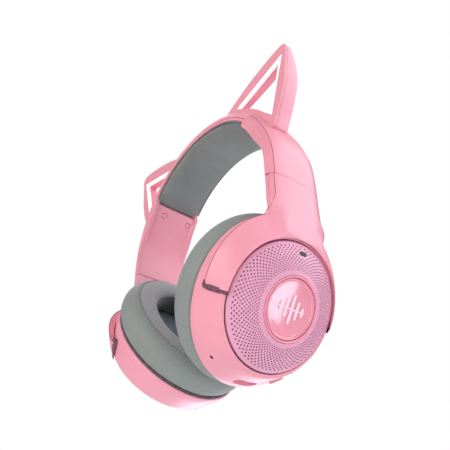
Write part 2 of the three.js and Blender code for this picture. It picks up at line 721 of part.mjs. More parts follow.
function addCupOutside(group, side) {
  const isLeft = side === "left";
  group.add(mesh(side + "_cup_shell", cupShell(isLeft), PINK));
  group.add(mesh(side + "_grille", grille(isLeft), PINK_GRILLE));
  const trim = turned([[CAP_R + GAP, 6.6], [17.8, 6.6], [17.8, 8.25], [CAP_R + GAP, 7.7]]);
  group.add(mesh(side + "_cap_trim_ring", trim, PINK_GLOSS));
  const cap = turned([[0, 5.6], [CAP_R, 5.6], [CAP_R, 7.2], [12, 7.5], [0, 7.6]]);
  group.add(mesh(side + "_centre_cap", cap, PINK_GLOSS));
  group.add(mesh(side + "_cap_emblem", emblem(), LIGHT));
}

function addCupInside(group, side) {
  const baffle = ovalPlate(40.8, 45.6, 18.3, 19.9);
  const driverHole = new THREE.CylinderGeometry(21, 21, 6, INNER_SEGMENTS).rotateX(90 * DEG);
  const opened = cut(baffle, driverHole.translate(0, 0, -19));
  group.add(mesh(side + "_baffle", opened, DARK));
  const magnetAndCone = [[0, -6.8], [12, -6.8], [12, -10.4], [25, -13.5], [25, -17.9], [0, -16.4]];
  const driver = turned(magnetAndCone, INNER_SEGMENTS);
  group.add(mesh(side + "_speaker_driver", driver, DARK));
  const ring = ovalRing([
    { a: 43.2, b: 48.8, d: 20.6 },
    { a: 43.2, b: 48.8, d: 22.4 },
    { a: 33, b: 38, d: 22.4 },
    { a: 33, b: 38, d: 20.6 },
  ], SEGMENTS);
  group.add(mesh(side + "_cushion_ring", ring, DARK));
  group.add(mesh(side + "_speaker_scrim", ovalPlate(32.6, 37.6, 20.8, 21.5), MESH_CLOTH));
  group.add(mesh(side + "_ear_cushion", ovalRing(CUSHION), FABRIC));
}

// The ear cushion: outer side, flat face towards the ear, and the ear's well.
const CUSHION = [
  { a: 43.8, b: 49.2, d: 22.7 },
  { a: 46.6, b: 51.0, d: 26 },
  { a: 47.9, b: 51.6, d: 31 },
  { a: 47.0, b: 50.0, d: 36.5 },
  { a: 44.0, b: 45.8, d: 40.3 },
  { a: 40.6, b: 42.7, d: 41.8 },
  { a: 28.0, b: 32.4, d: 41.8 },
  { a: 24.8, b: 29.2, d: 39.4 },
  { a: 24.6, b: 29.0, d: 33 },
  { a: 27.5, b: 32.4, d: 22.7 },
];

function chargingPort() {
  const { face } = SOCKET;
  const can = slab(stadium(SOCKET.length, SOCKET.width), SOCKET.deep).translate(0, 0, face - SOCKET.deep);
  const { length, width, deep } = SOCKET_MOUTH;
  const mouth = slab(stadium(length, width), deep + 1).translate(0, 0, face - deep);
  const half = [SOCKET_TONGUE.length / 2, SOCKET_TONGUE.width / 2];
  const floor = face - deep;
  const tongue = box(-half[0], -half[1], floor - 0.3, half[0], half[1], face - SOCKET_TONGUE.below);
  return join(cut(can, mouth), tongue).applyMatrix4(onShell(PORT.angle, PORT.depth));
}

function addLeftElectronics(group) {
  const board = box(-18, -22, -5.8, 18, 22, -4.4);
  group.add(mesh("left_main_board", board, BOARD));
  group.add(mesh("charging_port", chargingPort(), STEEL));
  const capsule = new THREE.CylinderGeometry(MIC.capsule, MIC.capsule, 1.6, 16).rotateX(90 * DEG);
  const behind = onShell(MIC.angle, MIC.depth);
  group.add(mesh("microphone", capsule.translate(0, 0, -4.2).applyMatrix4(behind), STEEL));
  const pane = slab(stadium(WINDOW.length, WINDOW.width), 1.6).translate(0, WINDOW.y, 1.5);
  group.add(mesh("status_window", pane, DARK));
  for (const button of BUTTONS) {
    group.add(mesh(button.name, buttonGeometry(button), PINK_INNER));
  }
}

// ---- assembly -----------------------------------------------------------------------------------

function buildHeadband() {
  const group = new THREE.Group();
  group.add(mesh("headband_outer_shell", outerShell(), PINK));
  const padEnds = [COVER_END + 0.2, 180 - COVER_END - 0.2];
  group.add(mesh("headband_pad_carrier", sweepBand(...padEnds, carrierSection), PINK_INNER));
  group.add(mesh("headband_pad", sweepBand(...padEnds, padSection), PAD));
  const strip = () => [[75.5, 6.2], [76.5, 6.2], [76.5, -6.2], [75.5, -6.2]];
  group.add(mesh("headband_spring_band", sweepBand(22, 158, strip), STEEL));
  return group;
}

function buildSide(side) {
  const group = new THREE.Group();
  group.add(mesh(side + "_arm_cover", armCover(), PINK_INNER));
  group.add(mesh(side + "_slider_guide", sliderGuide(), GUIDE_PLASTIC));
  group.add(mesh(side + "_cover_screw_front", coverScrew(SCREW_Y[0]), PINK_INNER));
  group.add(mesh(side + "_cover_screw_rear", coverScrew(SCREW_Y[1]), PINK_INNER));
  addEar(group, side, bandClearance());
  addArm(group, side);

  const cup = new THREE.Group();
  cup.position.set(CUP.x, 0, CUP.z);
  cup.quaternion.setFromRotationMatrix(CUP_FRAME);
  addCupOutside(cup, side);
  addCupInside(cup, side);
  if (side === "left") addLeftElectronics(cup);
  else cup.add(mesh("battery", box(-17, -13, -6, 17, 13, -1.8), BATTERY));
  group.add(cup);
  if (side === "right") group.scale.x = -1;
  return group;
}

const headset = new THREE.Group();
headset.add(buildHeadband(), buildSide("left"), buildSide("right"));

export default headset;
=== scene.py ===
"""The looks of a wireless gaming headset with cat ears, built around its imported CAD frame.

Shapes are worked out in millimetres in the row frame, or in the cup's own frame (+x to the rear,
+y up along the cup, +z outward, origin at the grille), and are placed in metres. The right side is
the left one mirrored, apart from what only one side has.
"""

import json
import math
import random

import bmesh
import bpy
from mathutils import Matrix, Vector
from mathutils.bvhtree import BVHTree
from mathutils.geometry import tessellate_polygon


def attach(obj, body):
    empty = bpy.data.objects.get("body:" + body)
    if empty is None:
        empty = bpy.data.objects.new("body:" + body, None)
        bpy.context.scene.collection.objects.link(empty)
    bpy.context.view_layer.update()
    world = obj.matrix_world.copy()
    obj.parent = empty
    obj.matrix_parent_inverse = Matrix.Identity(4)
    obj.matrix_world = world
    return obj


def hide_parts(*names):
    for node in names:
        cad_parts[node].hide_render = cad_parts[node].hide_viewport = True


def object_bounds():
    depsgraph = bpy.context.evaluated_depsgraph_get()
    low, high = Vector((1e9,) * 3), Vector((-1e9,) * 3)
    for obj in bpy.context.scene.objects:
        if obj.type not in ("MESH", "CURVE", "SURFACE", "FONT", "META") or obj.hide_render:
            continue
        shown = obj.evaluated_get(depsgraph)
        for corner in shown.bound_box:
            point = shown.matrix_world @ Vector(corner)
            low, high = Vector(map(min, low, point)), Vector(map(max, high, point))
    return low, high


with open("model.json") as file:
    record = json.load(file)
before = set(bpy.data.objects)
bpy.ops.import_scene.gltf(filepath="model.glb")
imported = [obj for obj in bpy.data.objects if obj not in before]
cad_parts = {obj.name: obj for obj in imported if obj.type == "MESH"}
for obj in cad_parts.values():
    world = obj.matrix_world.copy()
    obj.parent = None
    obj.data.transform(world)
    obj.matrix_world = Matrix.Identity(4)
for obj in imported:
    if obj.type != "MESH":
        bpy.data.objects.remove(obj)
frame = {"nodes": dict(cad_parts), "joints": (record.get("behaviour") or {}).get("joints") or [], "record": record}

CAD_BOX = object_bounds()
JOINTS = {joint["name"]: joint for joint in frame["joints"]}
MOUNTS = {mount["name"]: mount for mount in frame["record"]["mounts"]}

# ---- driving dimensions, in millimetres ---------------------------------------------------------

MM = 0.001
SEED = 7

CAMERA_AT = (0.2299, -0.1756, -0.2749)  # metres
CAMERA_AZIMUTH = 51.4
CAMERA_ELEVATION = -35.6
CAMERA_LENS = 39.81
FLOOR_DROP = 0.24  # how far the floor lies below the object, in metres
FLOOR_HALF = 4000
GLOW_DISTANCE = (0.35, 1.6)  # metres over which the floor's glow comes up
GLOW = 0.7
WORLD_LIGHT = (0.32, 0.5)  # from straight below and from straight above
LIGHTS = {  # place in metres, size in metres, power in watts and colour
    "key": ((0.62, 0.5, 0.42), (0.9, 0.9), 6.5, (0.97, 0.94, 1.0)),
    "fill": ((0.25, -1.1, 0.1), (0.9, 0.7), 8, (1.0, 0.95, 0.96)),
    "softbox": ((0.448, 0.25, -0.325), (0.15, 0.15), 0.45, (0.76, 0.88, 1.0)),
    "back": ((-0.6, 0.4, 0.7), (0.8, 0.8), 6, (1, 1, 1)),
    "rim": ((-0.48, 0.44, -0.31), (0.35, 0.25), 0.9, (0.92, 0.9, 1.0)),
}

# Fineness.
BAND_STEP = 1.5  # degrees, or millimetres along the arms
PATH_STEPS = 60
CORD_SIDES = 8
STADIUM_STEPS = 10
BEVEL_SEGMENTS = 3
EVEN_PASSES = 5

# Headband: an arch that runs down into two straight arms.
ARCH_Z = -65
ARCH_R = 80.4
BAND_HALF = 20.4
ARM_END_Z = -82
COVER_R = 72.4
COVER_END_R = 68
COVER_END = 37
SPLIT_ARM_R = 75.4
LIP_RISE = 2.0  # height of the rails along the arm covers' edges
SPLIT_ARCH_R = 71.9
SEAM = 0.3
WALL = 1.9
PAD_R = 65
PAD_SAG = 3  # how much thinner the pad's ends are
PAD_SAG_OVER = 9  # degrees
SCREW_ANGLE = 31
SCREW_Y = (-9.5, 14)
SCREW_CAP_R = 2.1
SCREW_ROOM = 0.32
SCREW_DEPTH = 1.2
EDGE_R = (78.2, 76.3)  # where the crown turns into the side, on the arms and on the arch
EDGE_Y = (17.6, 18.6)
CHEEK_TOP_R = (76.0, 73.1)
CHEEK_BEYOND = 1.8  # degrees that the cheeks run on beside the pad
CORD_R = 0.2  # of the dark cords of painted shade that draw parting lines
PIPING_R = 0.45
PIPING_AT = (68.9, 20.35)

# Cat ears, in the XZ plane; the front face is upright.
EAR_FRONT_Y = -13.4
EAR_SPLIT_Y = -11.2
EAR_BACK_Y = -1.2
EAR_BACK_SLOPE = 0.135
EAR_BACK_FOOT = (75, -40)  # the back slopes from this point
EAR_BACK_WAY = (-0.955, 0.295)
EAR_THIN = 0.8
EAR_TIP_SLOPE = 0.42
EAR_TIP_FROM_Z = 10
EAR_TIP_BEND = 8  # the back bends over to the tip within this far of that height
EAR_EDGE = [(28.1, 11.5), (38.3, 16.6), (53.2, 22.9), (69.9, 27.9), (80.3, 30.3), (88.5, 31.3),
            (91.8, 30.4), (93.5, 28.2), (93.8, 25), (91.6, 9.9), (89.2, -4.6), (85.0, -17.6),
            (80.5, -27.9), (76.6, -37.6)]
EAR_FOOT_R = 78.4
EAR_FOOT_ANGLES = (20, 69)
EAR_APEX = (85.0, 17.5)
EAR_OUTER_END = (72.2, -26.5)
EAR_INNER_END = (41.2, 5.9)
EAR_COLLAR_R = 82.4
EAR_COLLAR_ANGLES = (34, 54)
EAR_LIGHT_WIDTH = 3.2
EAR_LIGHT_DROP = 0.9

# Cup and yoke, in the cup's frame. A shell point is half width, half height and depth.
GRILLE_R = 35.7
CAP_R = 16.6
TRIM_R = 17.9
PIVOT_DEPTH = 10
SHELL = [(37.0, 37.0, 0.3), (38.8, 39.4, 2), (41.2, 43.6, 9), (43.4, 48.0, 16.5), (43.9, 49.5, 20.3)]
# The ring's lead into the grille's seat, its rim at the cushion, and its inside.
SHELL_LEAD = [(36.5, 36.5, 1.3), (36.5, 36.5, 0.75), (36.62, 36.62, 0.45), (36.8, 36.8, 0.32)]
SHELL_LIP = [(43.85, 49.45, 20.65), (43.5, 49.1, 20.9), (42.6, 48.2, 20.9)]
SHELL_INSIDE = [(41.7, 47.3, 20.0), (39.2, 41.6, 9), (36.8, 37.4, 4.2), (34, 34, 4.2), (34, 34, 1.7),
                (36.3, 36.3, 1.7)]
CUP_GAP = 0.45  # between the yoke's underside and the cup, across the surface
AROUND = 160  # steps around a cup
YOKE_INNER = 37.4
YOKE_OUTER = 44.8
YOKE_RISE = 5.5
YOKE_PROUD = 1.8
YOKE_EDGE = 10
YOKE_BACK = 13.2
YOKE_END = 4
YOKE_CORNER = 3
YOKE_CORNER_TURN = 2.5  # degrees by which the end wedges draw back at the yoke's round corner
YOKE_GAP = 0.15  # least room between the yoke's underside and the cup, in depth
YOKE_THIN = 0.4  # least thickness
YOKE_SEAM_SHADE_DROP = 0.45  # how far the dark line of painted shade lies below the outer edge
YOKE_SEAM_SHADE_R = 0.22
TILT_ROOM_FROM = 4.5  # height up the cup below which the room for the tilt opens
TILT_RISE = 0.19  # the sine of the tilt's limit, and a little more
YOKE_SLANT = 3  # degrees by which the end faces' back edges lie beyond their front edges
YOKE_ARM_FROM = 62
ARM_X = 80.4
ARM_SHELL_X = 74.9
ARM_CROWN = 3.8  # how far the arm's outer face falls away to its edges
ARM_TOP_Z = ARM_END_Z - SEAM
ARM_SPREAD = 2.2  # the arm is as wide as the band above this part of its height: one in 2.2
ARM_SPARE = 8  # the arm is built this much too long, and is cut off
STRIP_HALF = 17.9  # half the width between the strips on the arm's edges
YOKE_COVER_BOTTOM = -107
YOKE_COVER_CORNER = 6
CUT_BOX = 0.08  # side of the box that cuts the arm's top off, in metres
# Profiles of the middle of the cup: radius and height over the cup's origin.
CAP_FACE = [(0.05, 7.62, 0), (5, 7.58, 0), (10, 7.44, 0), (14.6, 7.2, 0)]
CAP_RIM = [(14.9, 7.2), (15.15, 7.35), (15.5, 7.68), (15.85, 7.76), (16.25, 7.62),
           (CAP_R - 0.05, 7.25)]
CAP_BOTTOM = 5.8
TRIM = [(CAP_R + 0.12, 6.7), (CAP_R + 0.12, 7.75), (CAP_R + 0.3, 8.0), (17.3, 8.22), (17.7, 8.2),
        (TRIM_R, 8.0), (TRIM_R, 6.7)]
# Half width, half height and depth of the dark ring of painted shade in the grille's gap.
SHADE_RING = [(35.6, 35.6, 1.25), (36.45, 36.45, 1.25), (36.45, 36.45, 1.65), (35.6, 35.6, 1.65)]
EMBLEM_BARS = [(-7.6, 5), (-3.8, 10), (0, 16), (3.8, 10), (7.6, 5)]  # place and height
EMBLEM_LINE = (19.4, 0.9)
BAR_WIDTH = 1.8
GRILLE_DOME = [(16, 8.3), (18.1, 7.9), (22, 6.6), (28, 4.3), (33.6, 1.6), (36, 0.2)]
HOLE_RINGS = 13
HOLES_PER_RING = 76
HOLES_FROM_R = 20.6
HOLES_TO_R = 34.0
HOLE_SHARE = 0.47  # a hole's radius as a share of its ring's width
HOLE_DEPTH = 0.9
GRILLE_WALL = 0.25
GRILLE_RIM = [(HOLES_TO_R, 0), (35.2, 0), (GRILLE_R - 0.1, 0), (GRILLE_R, -0.35), (GRILLE_R, -1.3)]
GRILLE_INNER_RIM = [(HOLES_FROM_R, 0), (19.4, 0), (18.3, 0), (18.1, -0.15), (18.1, -1.2)]
# a dark sheet of painted shade behind the grille's holes: its radii and depths
HOLE_SHADE_RADII = (18.6, 24, 29, 34.2)
HOLE_SHADE_DROP = (1.0, 1.5)
WINDOW = (0, 30.3)
WINDOW_SIZE = (4.8, 2.5)
WINDOW_HEIGHTS = (2.6, 3.75)
WINDOW_EDGE = 0.2
PORT = (-87.5, 12)
PORT_SIZE = (15, 7)
MIC = (-126, 12)
BUTTON_DEPTH = 10
BUTTONS = {"power_button": (-61, 9), "volume_up_button": (-44, 7), "volume_down_button": (-31, 7)}
BUTTON_WIDTH = 4.4
BUTTON_PROUD = 1.2
BUTTON_BARS = {"power_button": (), "volume_up_button": (0, math.pi / 2), "volume_down_button": (0,)}
BUTTON_MARK = (2.2, 0.5)
BUTTON_DOT = (0.9, 0.9)
PORT_WALL = 3
PORT_OPENING = (9.6, 3.9)
MIC_SIZE = (2.4, 1.5)
SCRIM = (32.6, 37.6, 21.1)
SCRIM_PROFILE = [(0.01, 0.66), (0.3, 0.6), (0.6, 0.45), (0.85, 0.18), (0.95, 0.03), (1.0, 0.0),
                 (1.0, -0.3), (0.01, -0.3)]
SCRIM_STEPS = 96
CUSHION = [(43.6, 49.2, 21.2), (45.0, 50.2, 22.9), (46.6, 51.0, 26), (47.9, 51.6, 31),
           (47.0, 50.0, 36.5), (44.0, 45.8, 40.3), (40.6, 42.7, 41.8), (28.0, 32.4, 41.8),
           (24.8, 29.2, 39.4), (24.6, 29.0, 33), (27.5, 32.4, 22.7), (36, 42, 22.7)]
PUFF = 0.9  # how much narrower than this the outside is before it is blown up
WELL_PUFF = 0.7

GRAIN = (0.3, 0.7)  # the part of a noise's range that is spread out
PEBBLES = 1500  # cells of imitation leather in a metre

CLOTH_STEPS = 20
CLOTH = {"quality": 6, "tension_stiffness": 12, "compression_stiffness": 6, "bending_stiffness": 1.5}

# ---- small tools --------------------------------------------------------------------------------


def mix(a, b, t):
    return a + (b - a) * t


def between(start, end, steps=PATH_STEPS):
    """Evenly spaced values, both ends included."""
    return [mix(start, end, i / steps) for i in range(steps + 1)]


def smooth(t):
    t = min(1, max(0, t))
    return t * t * (3 - 2 * t)


def spline(points, steps):
    """Catmull-Rom points through a list, with that many steps in each span."""
    points = [Vector(p) for p in points]
    padded = [points[0] * 2 - points[1], *points, points[-1] * 2 - points[-2]]
    made = []
    for a, b, c, d in zip(padded, padded[1:], padded[2:], padded[3:]):
        for i in range(steps):
            t = i / steps
            made.append(0.5 * ((2 * b) + (c - a) * t + (2 * a - 5 * b + 4 * c - d) * t * t
                               + (3 * b - a - 3 * c + d) * t ** 3))
    return made + [points[-1]]


def linked(name, data):
    """A new object in the scene."""
    obj = bpy.data.objects.new(name, data)
    bpy.context.scene.collection.objects.link(obj)
    return obj


def round_point(a, b, turn, z):
    """A point of an ellipse at a height."""
    return Vector((a * math.cos(turn), b * math.sin(turn), z))


def make(name, vertices, faces, matrix=None):
    """A mesh object from points in millimetres, placed in metres in the row frame."""
    mesh = bpy.data.meshes.new(name)
    mesh.from_pydata([tuple(v) for v in vertices], [], faces)
    mesh.transform(matrix if matrix else Matrix.Diagonal((MM, MM, MM, 1)))
    mesh.validate()
    clean = bmesh.new()
    clean.from_mesh(mesh)
    bmesh.ops.remove_doubles(clean, verts=clean.verts, dist=1e-7)
    bmesh.ops.recalc_face_normals(clean, faces=clean.faces)
    clean.to_mesh(mesh)
    clean.free()
    return linked(name, mesh)


def modifier(obj, name, kind, **values):
    """Gives the object a modifier with these settings."""
    made = obj.modifiers.new(name, kind)
    for key, value in values.items():
        setattr(made, key, value)
    return made


def applied(obj):
    """Applies the object's modifiers to its mesh."""
    graph = bpy.context.evaluated_depsgraph_get()
    mesh = bpy.data.meshes.new_from_object(obj.evaluated_get(graph))
    obj.modifiers.clear()
    obj.data = mesh
    return obj


def shaded(obj, angle=35):
    obj.data.shade_smooth()
    obj.data.set_sharp_from_angle(angle=math.radians(angle))
    return obj


def bevelled(obj, width, angle=38):
    """Rounds the edges that are sharper than an angle, by a width in millimetres."""
    modifier(obj, "Bevel", "BEVEL", width=width * MM, segments=BEVEL_SEGMENTS, limit_method="ANGLE",
             angle_limit=math.radians(angle), harden_normals=False)
    return shaded(applied(obj))


def crisp(obj):
    """Keeps a hard piece's flat faces flat up to its rounded edges."""
    modifier(obj, "WeightedNormal", "WEIGHTED_NORMAL", keep_sharp=True)


def combined(obj, operation, tool):
    """Cuts a tool out of the object, or adds it, and removes the tool."""
    modifier(obj, "Combine", "BOOLEAN", operation=operation, solver="EXACT", object=tool)
    applied(obj)
    bpy.data.objects.remove(tool)


def cut(obj, *tools):
    """Cuts the tools out of the object and removes them."""
    for tool in tools:
        combined(obj, "DIFFERENCE", tool)
    return shaded(obj)


def joined(name, *objects):
    """One object from several, all of them in the row frame."""
    whole = bmesh.new()
    for obj in objects:
        whole.from_mesh(obj.data)
    mesh = bpy.data.meshes.new(name)
    whole.to_mesh(mesh)
    whole.free()
    for obj in objects:
        bpy.data.objects.remove(obj)
    return shaded(linked(name, mesh))


def flipped(mesh):
    """Turns a left piece's mesh into the right side's."""
    mesh.transform(Matrix.Diagonal((-1, 1, 1, 1)))
    mesh.flip_normals()


def mirrored(obj, name):
    """A copy of a left piece for the right side."""
    mesh = obj.data.copy()
    flipped(mesh)
    return linked(name, mesh)


def loft(rows, ring=False):
    """Vertices and faces over rows of points; each row closes on itself, and rows may too."""
    columns = len(rows[0])
    vertices = [p for row in rows for p in row]
    faces = []
    count = len(rows) if ring else len(rows) - 1
    for i in range(count):
        here = i * columns
        there = (i + 1) % len(rows) * columns
        for j in range(columns):
            k = (j + 1) % columns
            faces.append((here + j, here + k, there + k, there + j))
    if not ring:
        faces.append(tuple(range(columns - 1, -1, -1)))
        faces.append(tuple(range((len(rows) - 1) * columns, len(rows) * columns)))
    return vertices, faces


def oval_ring(profile, steps=AROUND):
    """A ring whose section is a closed list of (half width, half height, depth)."""
    turns = [2 * math.pi * i / steps for i in range(steps)]
    return loft([[round_point(a, b, t, -d) for a, b, d in profile] for t in turns], ring=True)


def turned(profile, steps=AROUND):
    """A solid of revolution about +z from (radius, z) points; it starts and ends on the axis."""
    inner = profile[1:-1] if profile[0][0] == 0 else profile
    turns = [2 * math.pi * i / steps for i in range(steps)]
    return loft([[round_point(r, r, t, z) for t in turns] for r, z in inner], ring=profile[0][0] != 0)


def stadium(length, width):
    """The outline of a slot with round ends."""
    r = width / 2
    points = []
    for side in (1, -1):
        for i in range(STADIUM_STEPS + 1):
            t = math.radians(-90 + 180 * i / STADIUM_STEPS)
            points.append((side * (length / 2 - r + r * math.cos(t)), side * r * math.sin(t)))
    return points


def prism(outline, low, high):
    """An outline in the XY plane between two heights."""
    return loft([[Vector((x, y, low)) for x, y in outline], [Vector((x, y, high)) for x, y in outline]])


def tube(path, radius):
    """A round cord along a path."""
    rows = []
    side = None
    turns = [2 * math.pi * k / CORD_SIDES for k in range(CORD_SIDES)]
    for before, point, after in zip([path[0], *path], path, [*path[1:], path[-1]]):
        along = (after - before).normalized()
        side = (along.cross(side.cross(along)) if side else along.orthogonal()).normalized()
        other = along.cross(side)
        rows.append([point + radius * (side * math.cos(a) + other * math.sin(a)) for a in turns])
    return loft(rows)


# ---- materials ----------------------------------------------------------------------------------


class Nodes:
    """A material's node tree, with short calls to add to it."""

    def __init__(self, name):
        self.material = bpy.data.materials.new(name)
        self.material.use_nodes = True
        self.tree = self.material.node_tree
        self.shader = self.tree.nodes["Principled BSDF"]
        self.place = self.add("ShaderNodeTexCoord").outputs["Object"]

    def add(self, kind, links=None, **values):
        made = self.tree.nodes.new(kind)
        for key, value in values.items():
            setattr(made, key, value)
        for key, value in (links or {}).items():
            self.feed(made.inputs[key], value)
        return made

    def feed(self, socket, value):
        if isinstance(value, bpy.types.NodeSocket):
            self.tree.links.new(value, socket)
        else:
            socket.default_value = value

    def set(self, **values):
        """Sets the shader's sockets; an underscore in a name stands for a space."""
        for key, value in values.items():
            self.feed(self.shader.inputs[key.replace("_", " ")], value)

    def noise(self, scale, detail=3.0, rough=0.55):
        links = {"Vector": self.place, "Scale": scale, "Detail": detail, "Roughness": rough}
        return self.add("ShaderNodeTexNoise", links).outputs["Fac"]

    def voronoi(self, scale, feature="F1"):
        links = {"Vector": self.place, "Scale": scale}
        return self.add("ShaderNodeTexVoronoi", links, feature=feature).outputs["Distance"]

    def spread(self, value, low, high, to_low=0.0, to_high=1.0):
        links = {"Value": value, "From Min": low, "From Max": high, "To Min": to_low, "To Max": to_high}
        return self.add("ShaderNodeMapRange", links).outputs["Result"]

    def vary(self, scale, low, high, detail=3.0, rough=0.55):
        """A fine noise between two values."""
        return self.spread(self.noise(scale, detail, rough), *GRAIN, low, high)

    def mottled(self, scale, deep, colour, detail=2.0):
        """The colour with darker clouds in it."""
        return self.blend(self.spread(self.noise(scale, detail), 0.35, 0.65), shade(colour, deep), colour)

    def math(self, operation, a, b=0.0):
        return self.add("ShaderNodeMath", {0: a, 1: b}, operation=operation).outputs[0]

    def blend(self, share, a, b):
        made = self.add("ShaderNodeMix", data_type="RGBA")
        self.feed(made.inputs["Factor"], share)
        self.feed(made.inputs["A"], a)
        self.feed(made.inputs["B"], b)
        return made.outputs["Result"]

    def bump(self, height, depth):
        """Gives the shader a bump of that depth in millimetres."""
        links = {"Height": height, "Distance": depth * MM, "Strength": 1.0}
        self.set(Normal=self.add("ShaderNodeBump", links).outputs["Normal"])

    def edges(self, low, high):
        """Bright on convex edges."""
        return self.spread(self.add("ShaderNodeNewGeometry").outputs["Pointiness"], low, high)


def rgb(*display):
    """A linear colour from eight-bit display values."""
    linear = [((c / 255 + 0.055) / 1.055) ** 2.4 if c > 10 else c / 255 / 12.92 for c in display]
    return (*linear, 1.0)


def shade(colour, share):
    """A darker colour."""
    return (*[c * share for c in colour[:3]], 1.0)


def plastic(name, colour, roughness, grain=0.02, tint=None):
    """Moulded plastic: fine spark-eroded grain, faint flow marks and lighter worn edges."""
    n = Nodes(name)
    pale = (*[mix(c, 1, 0.1) for c in colour[:3]], 1.0)
    body = n.mottled(28, 0.93, colour)
    if tint:
        body = n.blend(n.spread(n.noise(9, 1), 0.4, 0.7, 0, 0.5), body, tint)
    worn = n.math("MULTIPLY", n.edges(0.52, 0.6), n.spread(n.noise(420, 4), 0.4, 0.6))
    n.set(Base_Color=n.blend(n.math("MULTIPLY", worn, 0.5), body, pale), IOR=1.49,
          Roughness=n.vary(900, roughness - 0.05, roughness + 0.06, 5, 0.7))
    n.bump(n.noise(2600, 2), grain)
    return n.material


def gloss(name, colour):
    """Polished plastic: a clear coat over colour, with a trace of orange peel."""
    n = Nodes(name)
    n.set(Base_Color=n.mottled(60, 0.9, colour), Roughness=n.vary(300, 0.1, 0.17, 4),
          Coat_Weight=0.7, Coat_Roughness=0.06)
    n.bump(n.noise(180, 1), 0.006)
    return n.material


def leatherette(name, colour):
    """Imitation leather: pebbled cells with fine creases, darker in the creases as painted shade."""
    n = Nodes(name)
    ridge = n.spread(n.voronoi(PEBBLES, "DISTANCE_TO_EDGE"), 0.0, 0.22)
    n.set(Base_Color=n.blend(ridge, shade(colour, 0.8), n.mottled(45, 0.93, colour, 3)),
          Roughness=n.vary(700, 0.5, 0.66), Sheen_Weight=0.12, Sheen_Roughness=0.5)
    n.bump(n.math("ADD", ridge, n.math("MULTIPLY", n.noise(240, 4), 1.6)), 0.035)
    return n.material


def cloth(name, colour, pitch, depth, sheen=0.35):
    """Knitted cloth: three crossed sets of threads that wander a little."""
    n = Nodes(name)
    wander = n.add("ShaderNodeTexNoise", {"Vector": n.place, "Scale": 160.0, "Detail": 2.0})
    shift = n.add("ShaderNodeVectorMath", {0: wander.outputs["Color"], 1: (0.0006,) * 3},
                  operation="MULTIPLY").outputs[0]
    place = n.add("ShaderNodeVectorMath", {0: n.place, 1: shift}, operation="ADD").outputs[0]
    x, y, z = [n.add("ShaderNodeTexWave", {"Vector": place, "Scale": 1 / (pitch * MM) / 3.1},
                     bands_direction=direction).outputs["Fac"] for direction in "XYZ"]
    woven = n.math("MULTIPLY", n.math("ADD", n.math("ADD", x, y), z), 0.34)
    n.set(Base_Color=n.blend(n.spread(woven, 0.2, 0.7), shade(colour, 0.55), colour),
          Roughness=n.vary(500, 0.82, 0.95), Sheen_Weight=sheen)
    n.bump(woven, depth)
    return n.material


def metal(name, colour):
    """Brushed steel, with its lines along the height."""
    n = Nodes(name)
    stretched = n.add("ShaderNodeVectorMath", {0: n.place, 1: (3000.0, 3000.0, 40.0)},
                      operation="MULTIPLY").outputs[0]
    links = {"Vector": stretched, "Scale": 1.0, "Detail": 3.0}
    lines = n.add("ShaderNodeTexNoise", links).outputs["Fac"]
    n.set(Base_Color=n.blend(lines, shade(colour, 0.8), colour),
          Roughness=n.spread(lines, *GRAIN, 0.24, 0.42), Metallic=1.0)
    n.bump(lines, 0.004)
    return n.material


def diffuser(name):
    """Milky plastic over lights: evenly bright, a little brighter over each light."""
    n = Nodes(name)
    spots = n.spread(n.voronoi(190), 0.0, 0.8, 1.0, 0.0)
    n.set(Base_Color=n.blend(spots, rgb(246, 240, 242), rgb(255, 253, 253)),
          Roughness=n.vary(700, 0.25, 0.35), Emission_Color=rgb(255, 250, 250), Emission_Strength=0.35)
    n.bump(n.noise(1500), 0.008)
    return n.material


def board(name):
    """A circuit board: solder mask with faint copper tracks."""
    n = Nodes(name)
    brick = n.add("ShaderNodeTexBrick", {"Vector": n.place, "Scale": 260.0, "Mortar Size": 0.04,
                                         "Color1": rgb(28, 92, 52), "Color2": rgb(24, 80, 46),
                                         "Mortar": rgb(60, 130, 80)})
    n.set(Base_Color=brick.outputs["Color"], Roughness=n.vary(300, 0.3, 0.45))
    n.bump(brick.outputs["Fac"], 0.03)
    return n.material


MATERIALS = {
    "shell_pink": plastic("shell_pink", rgb(240, 158, 174), 0.34, tint=rgb(240, 162, 182)),
    "inner_pink": plastic("inner_pink", rgb(235, 152, 168), 0.4),
    "grille_pink": plastic("grille_pink", rgb(230, 163, 190), 0.32, grain=0.012),
    "gloss_pink": gloss("gloss_pink", rgb(240, 146, 166)),
    "light_diffuser": diffuser("light_diffuser"),
    "cushion_leatherette": leatherette("cushion_leatherette", rgb(140, 148, 144)),
    "pad_leatherette": leatherette("pad_leatherette", rgb(130, 137, 134)),
    "cushion_face": cloth("cushion_face", rgb(160, 162, 163), 0.55, 0.06),
    "cushion_inner": cloth("cushion_inner", rgb(84, 90, 90), 0.9, 0.12),
    "speaker_scrim": cloth("speaker_scrim", rgb(106, 114, 124), 0.8, 0.08),
    "steel": metal("steel", rgb(205, 207, 210)),
    "dark_plastic": plastic("dark_plastic", rgb(62, 58, 62), 0.45),
    "mark_pink": plastic("mark_pink", rgb(252, 212, 224), 0.3),
    # dark cords along parting lines and gaps: their colour is painted shade
    "seam_shade": plastic("seam_shade", rgb(168, 92, 112), 0.6),
    # dark pieces and faces in gaps, holes and under the yoke's ends: painted shade
    "painted_shade": plastic("painted_shade", rgb(112, 60, 78), 0.7),
    "thread": cloth("thread", rgb(98, 104, 102), 0.25, 0.02, 0.1),
    "circuit_board": board("circuit_board"),
    "guide_plastic": plastic("guide_plastic", rgb(226, 222, 218), 0.45),
    "battery_foil": metal("battery_foil", rgb(150, 158, 176)),
}


def painted(obj, base, material, test):
    """Gives a piece its base material, and another one to the faces whose middle passes a test."""
    if not obj.data.materials:
        obj.data.materials.append(MATERIALS[base])
    obj.data.materials.append(MATERIALS[material])
    for face in obj.data.polygons:
        if test(face.center / MM):
            face.material_index = len(obj.data.materials) - 1
    return obj


